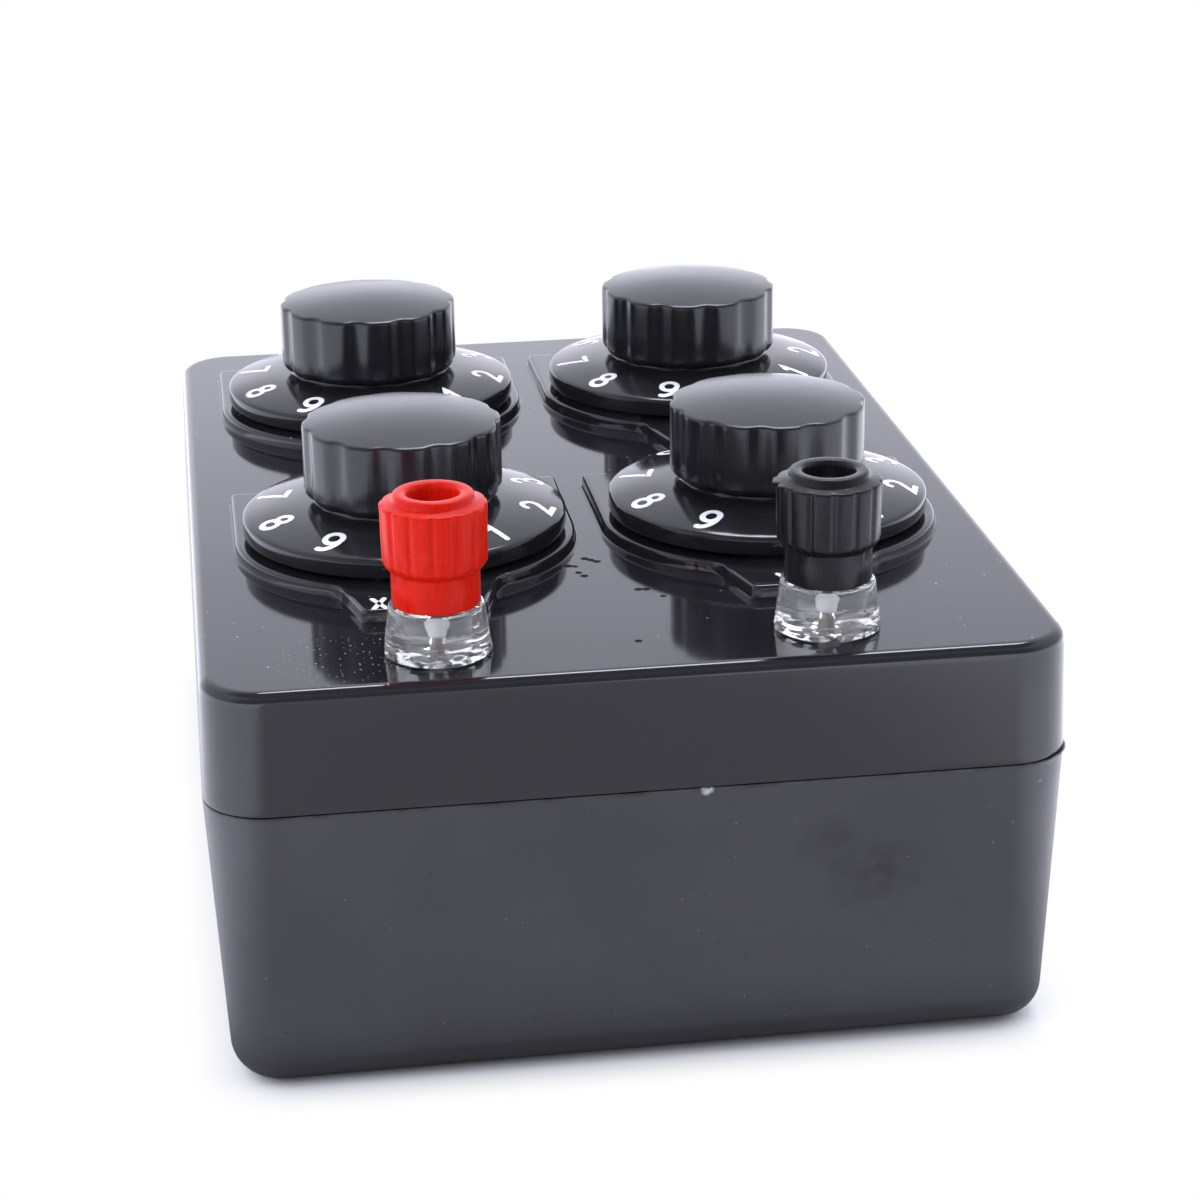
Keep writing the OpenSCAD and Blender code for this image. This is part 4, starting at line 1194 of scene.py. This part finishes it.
def floor_finish():
    """Pale floor: it takes the object's shadow close by, and shows as white further out. In reflections it is
    painted darker close to the foot, a painted shade, and glows brighter towards the sides, a painted sheen.
    """
    f = Finish("studio_floor")
    x, y = f.parts(f.place)[:2]
    across = ((x / MM - SHADOW_SHIFT).size() - (HALF_W - SHADOW_CORNER)).most(0)
    along = (y.size() / MM - (HALF_D - SHADOW_CORNER)).most(0)
    away = (across * across + along * along) ** 0.5 - SHADOW_CORNER
    open_floor = away.step(SHADOW_START, SHADOW_REACH) ** 0.5
    camera = f.node("LightPath", output="Is Camera Ray")
    mirrored = camera.other("Is Glossy Ray")
    seen = open_floor * camera.most(camera.other("Is Transmission Ray"))
    seen = seen.most(mirrored * away.step(*FOOT_SHADE))
    sides = (x.size() / MM - HALF_W).step(*SIDE_SHEEN)
    # Reflections see a darker floor close to the foot: painted shade.
    pale, painted_foot_shade = [FLOOR_TINT] * 3, [MIRRORED_FOOT_SHADE] * 3
    plain = f.node("BsdfDiffuse", {"Color": f.mix(mirrored, pale, painted_foot_shade)})
    front, bright = [[c * sheen for c in LIGHT_TINT] for sheen in (FRONT_SHEEN, BRIGHT_SHEEN)]
    glow = f.mix(mirrored, f.mix(camera, LIGHT_TINT, WHITE), f.mix(sides, front, bright))
    white = f.node("Emission", {"Color": glow})
    return f.finished(f.node("MixShader", {0: seen, 1: plain, 2: white}))


def studio_floor():
    mesh = bpy.data.meshes.new("studio_floor")
    corners = [(sx * FLOOR_HALF, sy * FLOOR_HALF, 0) for sx, sy in ((-1, -1), (1, -1), (1, 1), (-1, 1))]
    mesh.from_pydata(corners, [], [(0, 1, 2, 3)])
    mesh.materials.append(floor_finish())
    floor = add("studio_floor", mesh)


HORIZON_GLOW = 1.85
BACK_GLOW = 1.2
SIDE_GLOW = 1.05
HIGH_GLOW = 1.1
OVERHEAD_GLOW = 0.28
FRONT_SHADE = 0.72

# Where each glow sets in and is full, as a share of the way back or up
BACK_FADE = (0.4, 0.97)
HORIZON_FADE = (0.22, 0.4)
HIGH_FADE = (0.42, 0.74)
OVERHEAD_FADE = (0.76, 0.92)
FRONT_FADE = (-0.85, -0.15)
FRONT_RISE = (0.02, 0.15)


def studio_world():
    """A white tent: brightest low down behind the object, darker overhead, plain white to the camera."""
    world = bpy.data.worlds.new("studio_world")
    bpy.context.scene.world = world
    world.use_nodes = True
    w = Nodes(world.node_tree)
    y, z = w.parts(w.node("TexCoord", output="Generated"))[1:]
    behind = y.step(*BACK_FADE)
    low = BACK_GLOW + (HORIZON_GLOW - BACK_GLOW) * (1 - z.step(*HORIZON_FADE))
    glow = SIDE_GLOW + behind * (low - SIDE_GLOW)
    high = z.step(*HIGH_FADE)
    glow = glow * (1 - high) + high * HIGH_GLOW
    glow = glow * (1 - (1 - y.step(*FRONT_FADE)) * z.step(*FRONT_RISE) * FRONT_SHADE)
    overhead = z.step(*OVERHEAD_FADE)
    glow = glow * (1 - overhead) + overhead * OVERHEAD_GLOW
    camera = w.node("LightPath", output="Is Camera Ray")
    tint = w.mix(camera, LIGHT_TINT, WHITE)
    shade = w.node("Background", {"Color": tint, "Strength": camera + (1 - camera) * glow})
    w.node("OutputWorld", {"Surface": shade})


def soft_box(name, place, aim, width, height, radiance, mirrored=False):
    """A soft panel of light, facing a point, given in metres."""
    light = bpy.data.lights.new(name, "AREA")
    light.shape = "RECTANGLE"
    light.size, light.size_y = width, height
    light.energy = pi * width * height * radiance
    light.color = LIGHT_TINT
    lamp = add(name, light)
    lamp.location = place
    lamp.visible_glossy = mirrored
    lamp.rotation_euler = (Vector(place) - Vector(aim)).to_track_quat("Z", "Y").to_euler()


AIM = (0, 0, 0.04)
studio_floor()
studio_world()
soft_box("key_light", (-0.5, -0.5, 0.4), AIM, 0.4, 0.4, 3.0)
soft_box("left_floor_light", (-0.26, -0.05, 0.14), (-0.2601, -0.05, 0), 0.26, 0.36, 1.6)
soft_box("right_floor_light", (0.26, -0.05, 0.14), (0.2601, -0.05, 0), 0.26, 0.36, 1.8)
soft_box("back_light", (0.14, 0.36, 0.84), AIM, 0.42, 0.24, 11.0, mirrored=True)

# Camera, as fitted to the photograph's edges

PHOTO_SIZE = 1200
FOCAL_PIXELS = 2976.44
SENSOR = 36
CAMERA_PLACE = (-0.047954, -0.373126, 0.173138)
CAMERA_YAW = radians(7.998)
CAMERA_PITCH = radians(20.479)
CAMERA_ROLL = radians(-0.793)


def photo_camera():
    reach = cos(CAMERA_PITCH)
    ahead = Vector((sin(CAMERA_YAW) * reach, cos(CAMERA_YAW) * reach, -sin(CAMERA_PITCH)))
    level = Vector((cos(CAMERA_YAW), -sin(CAMERA_YAW), 0))
    upright = level.cross(ahead)
    across = cos(CAMERA_ROLL) * level + sin(CAMERA_ROLL) * upright
    up = cos(CAMERA_ROLL) * upright - sin(CAMERA_ROLL) * level
    camera = add("photo_camera", bpy.data.cameras.new("photo_camera"))
    stand = Matrix((across, up, -ahead)).transposed().to_4x4()
    stand.translation = Vector(CAMERA_PLACE)
    camera.matrix_world = stand
    camera.data.sensor_width = SENSOR
    camera.data.lens = SENSOR * FOCAL_PIXELS / PHOTO_SIZE
    camera.data.clip_start = 0.01
    bpy.context.scene.camera = camera


photo_camera()
bpy.context.scene.view_settings.view_transform = "Standard"
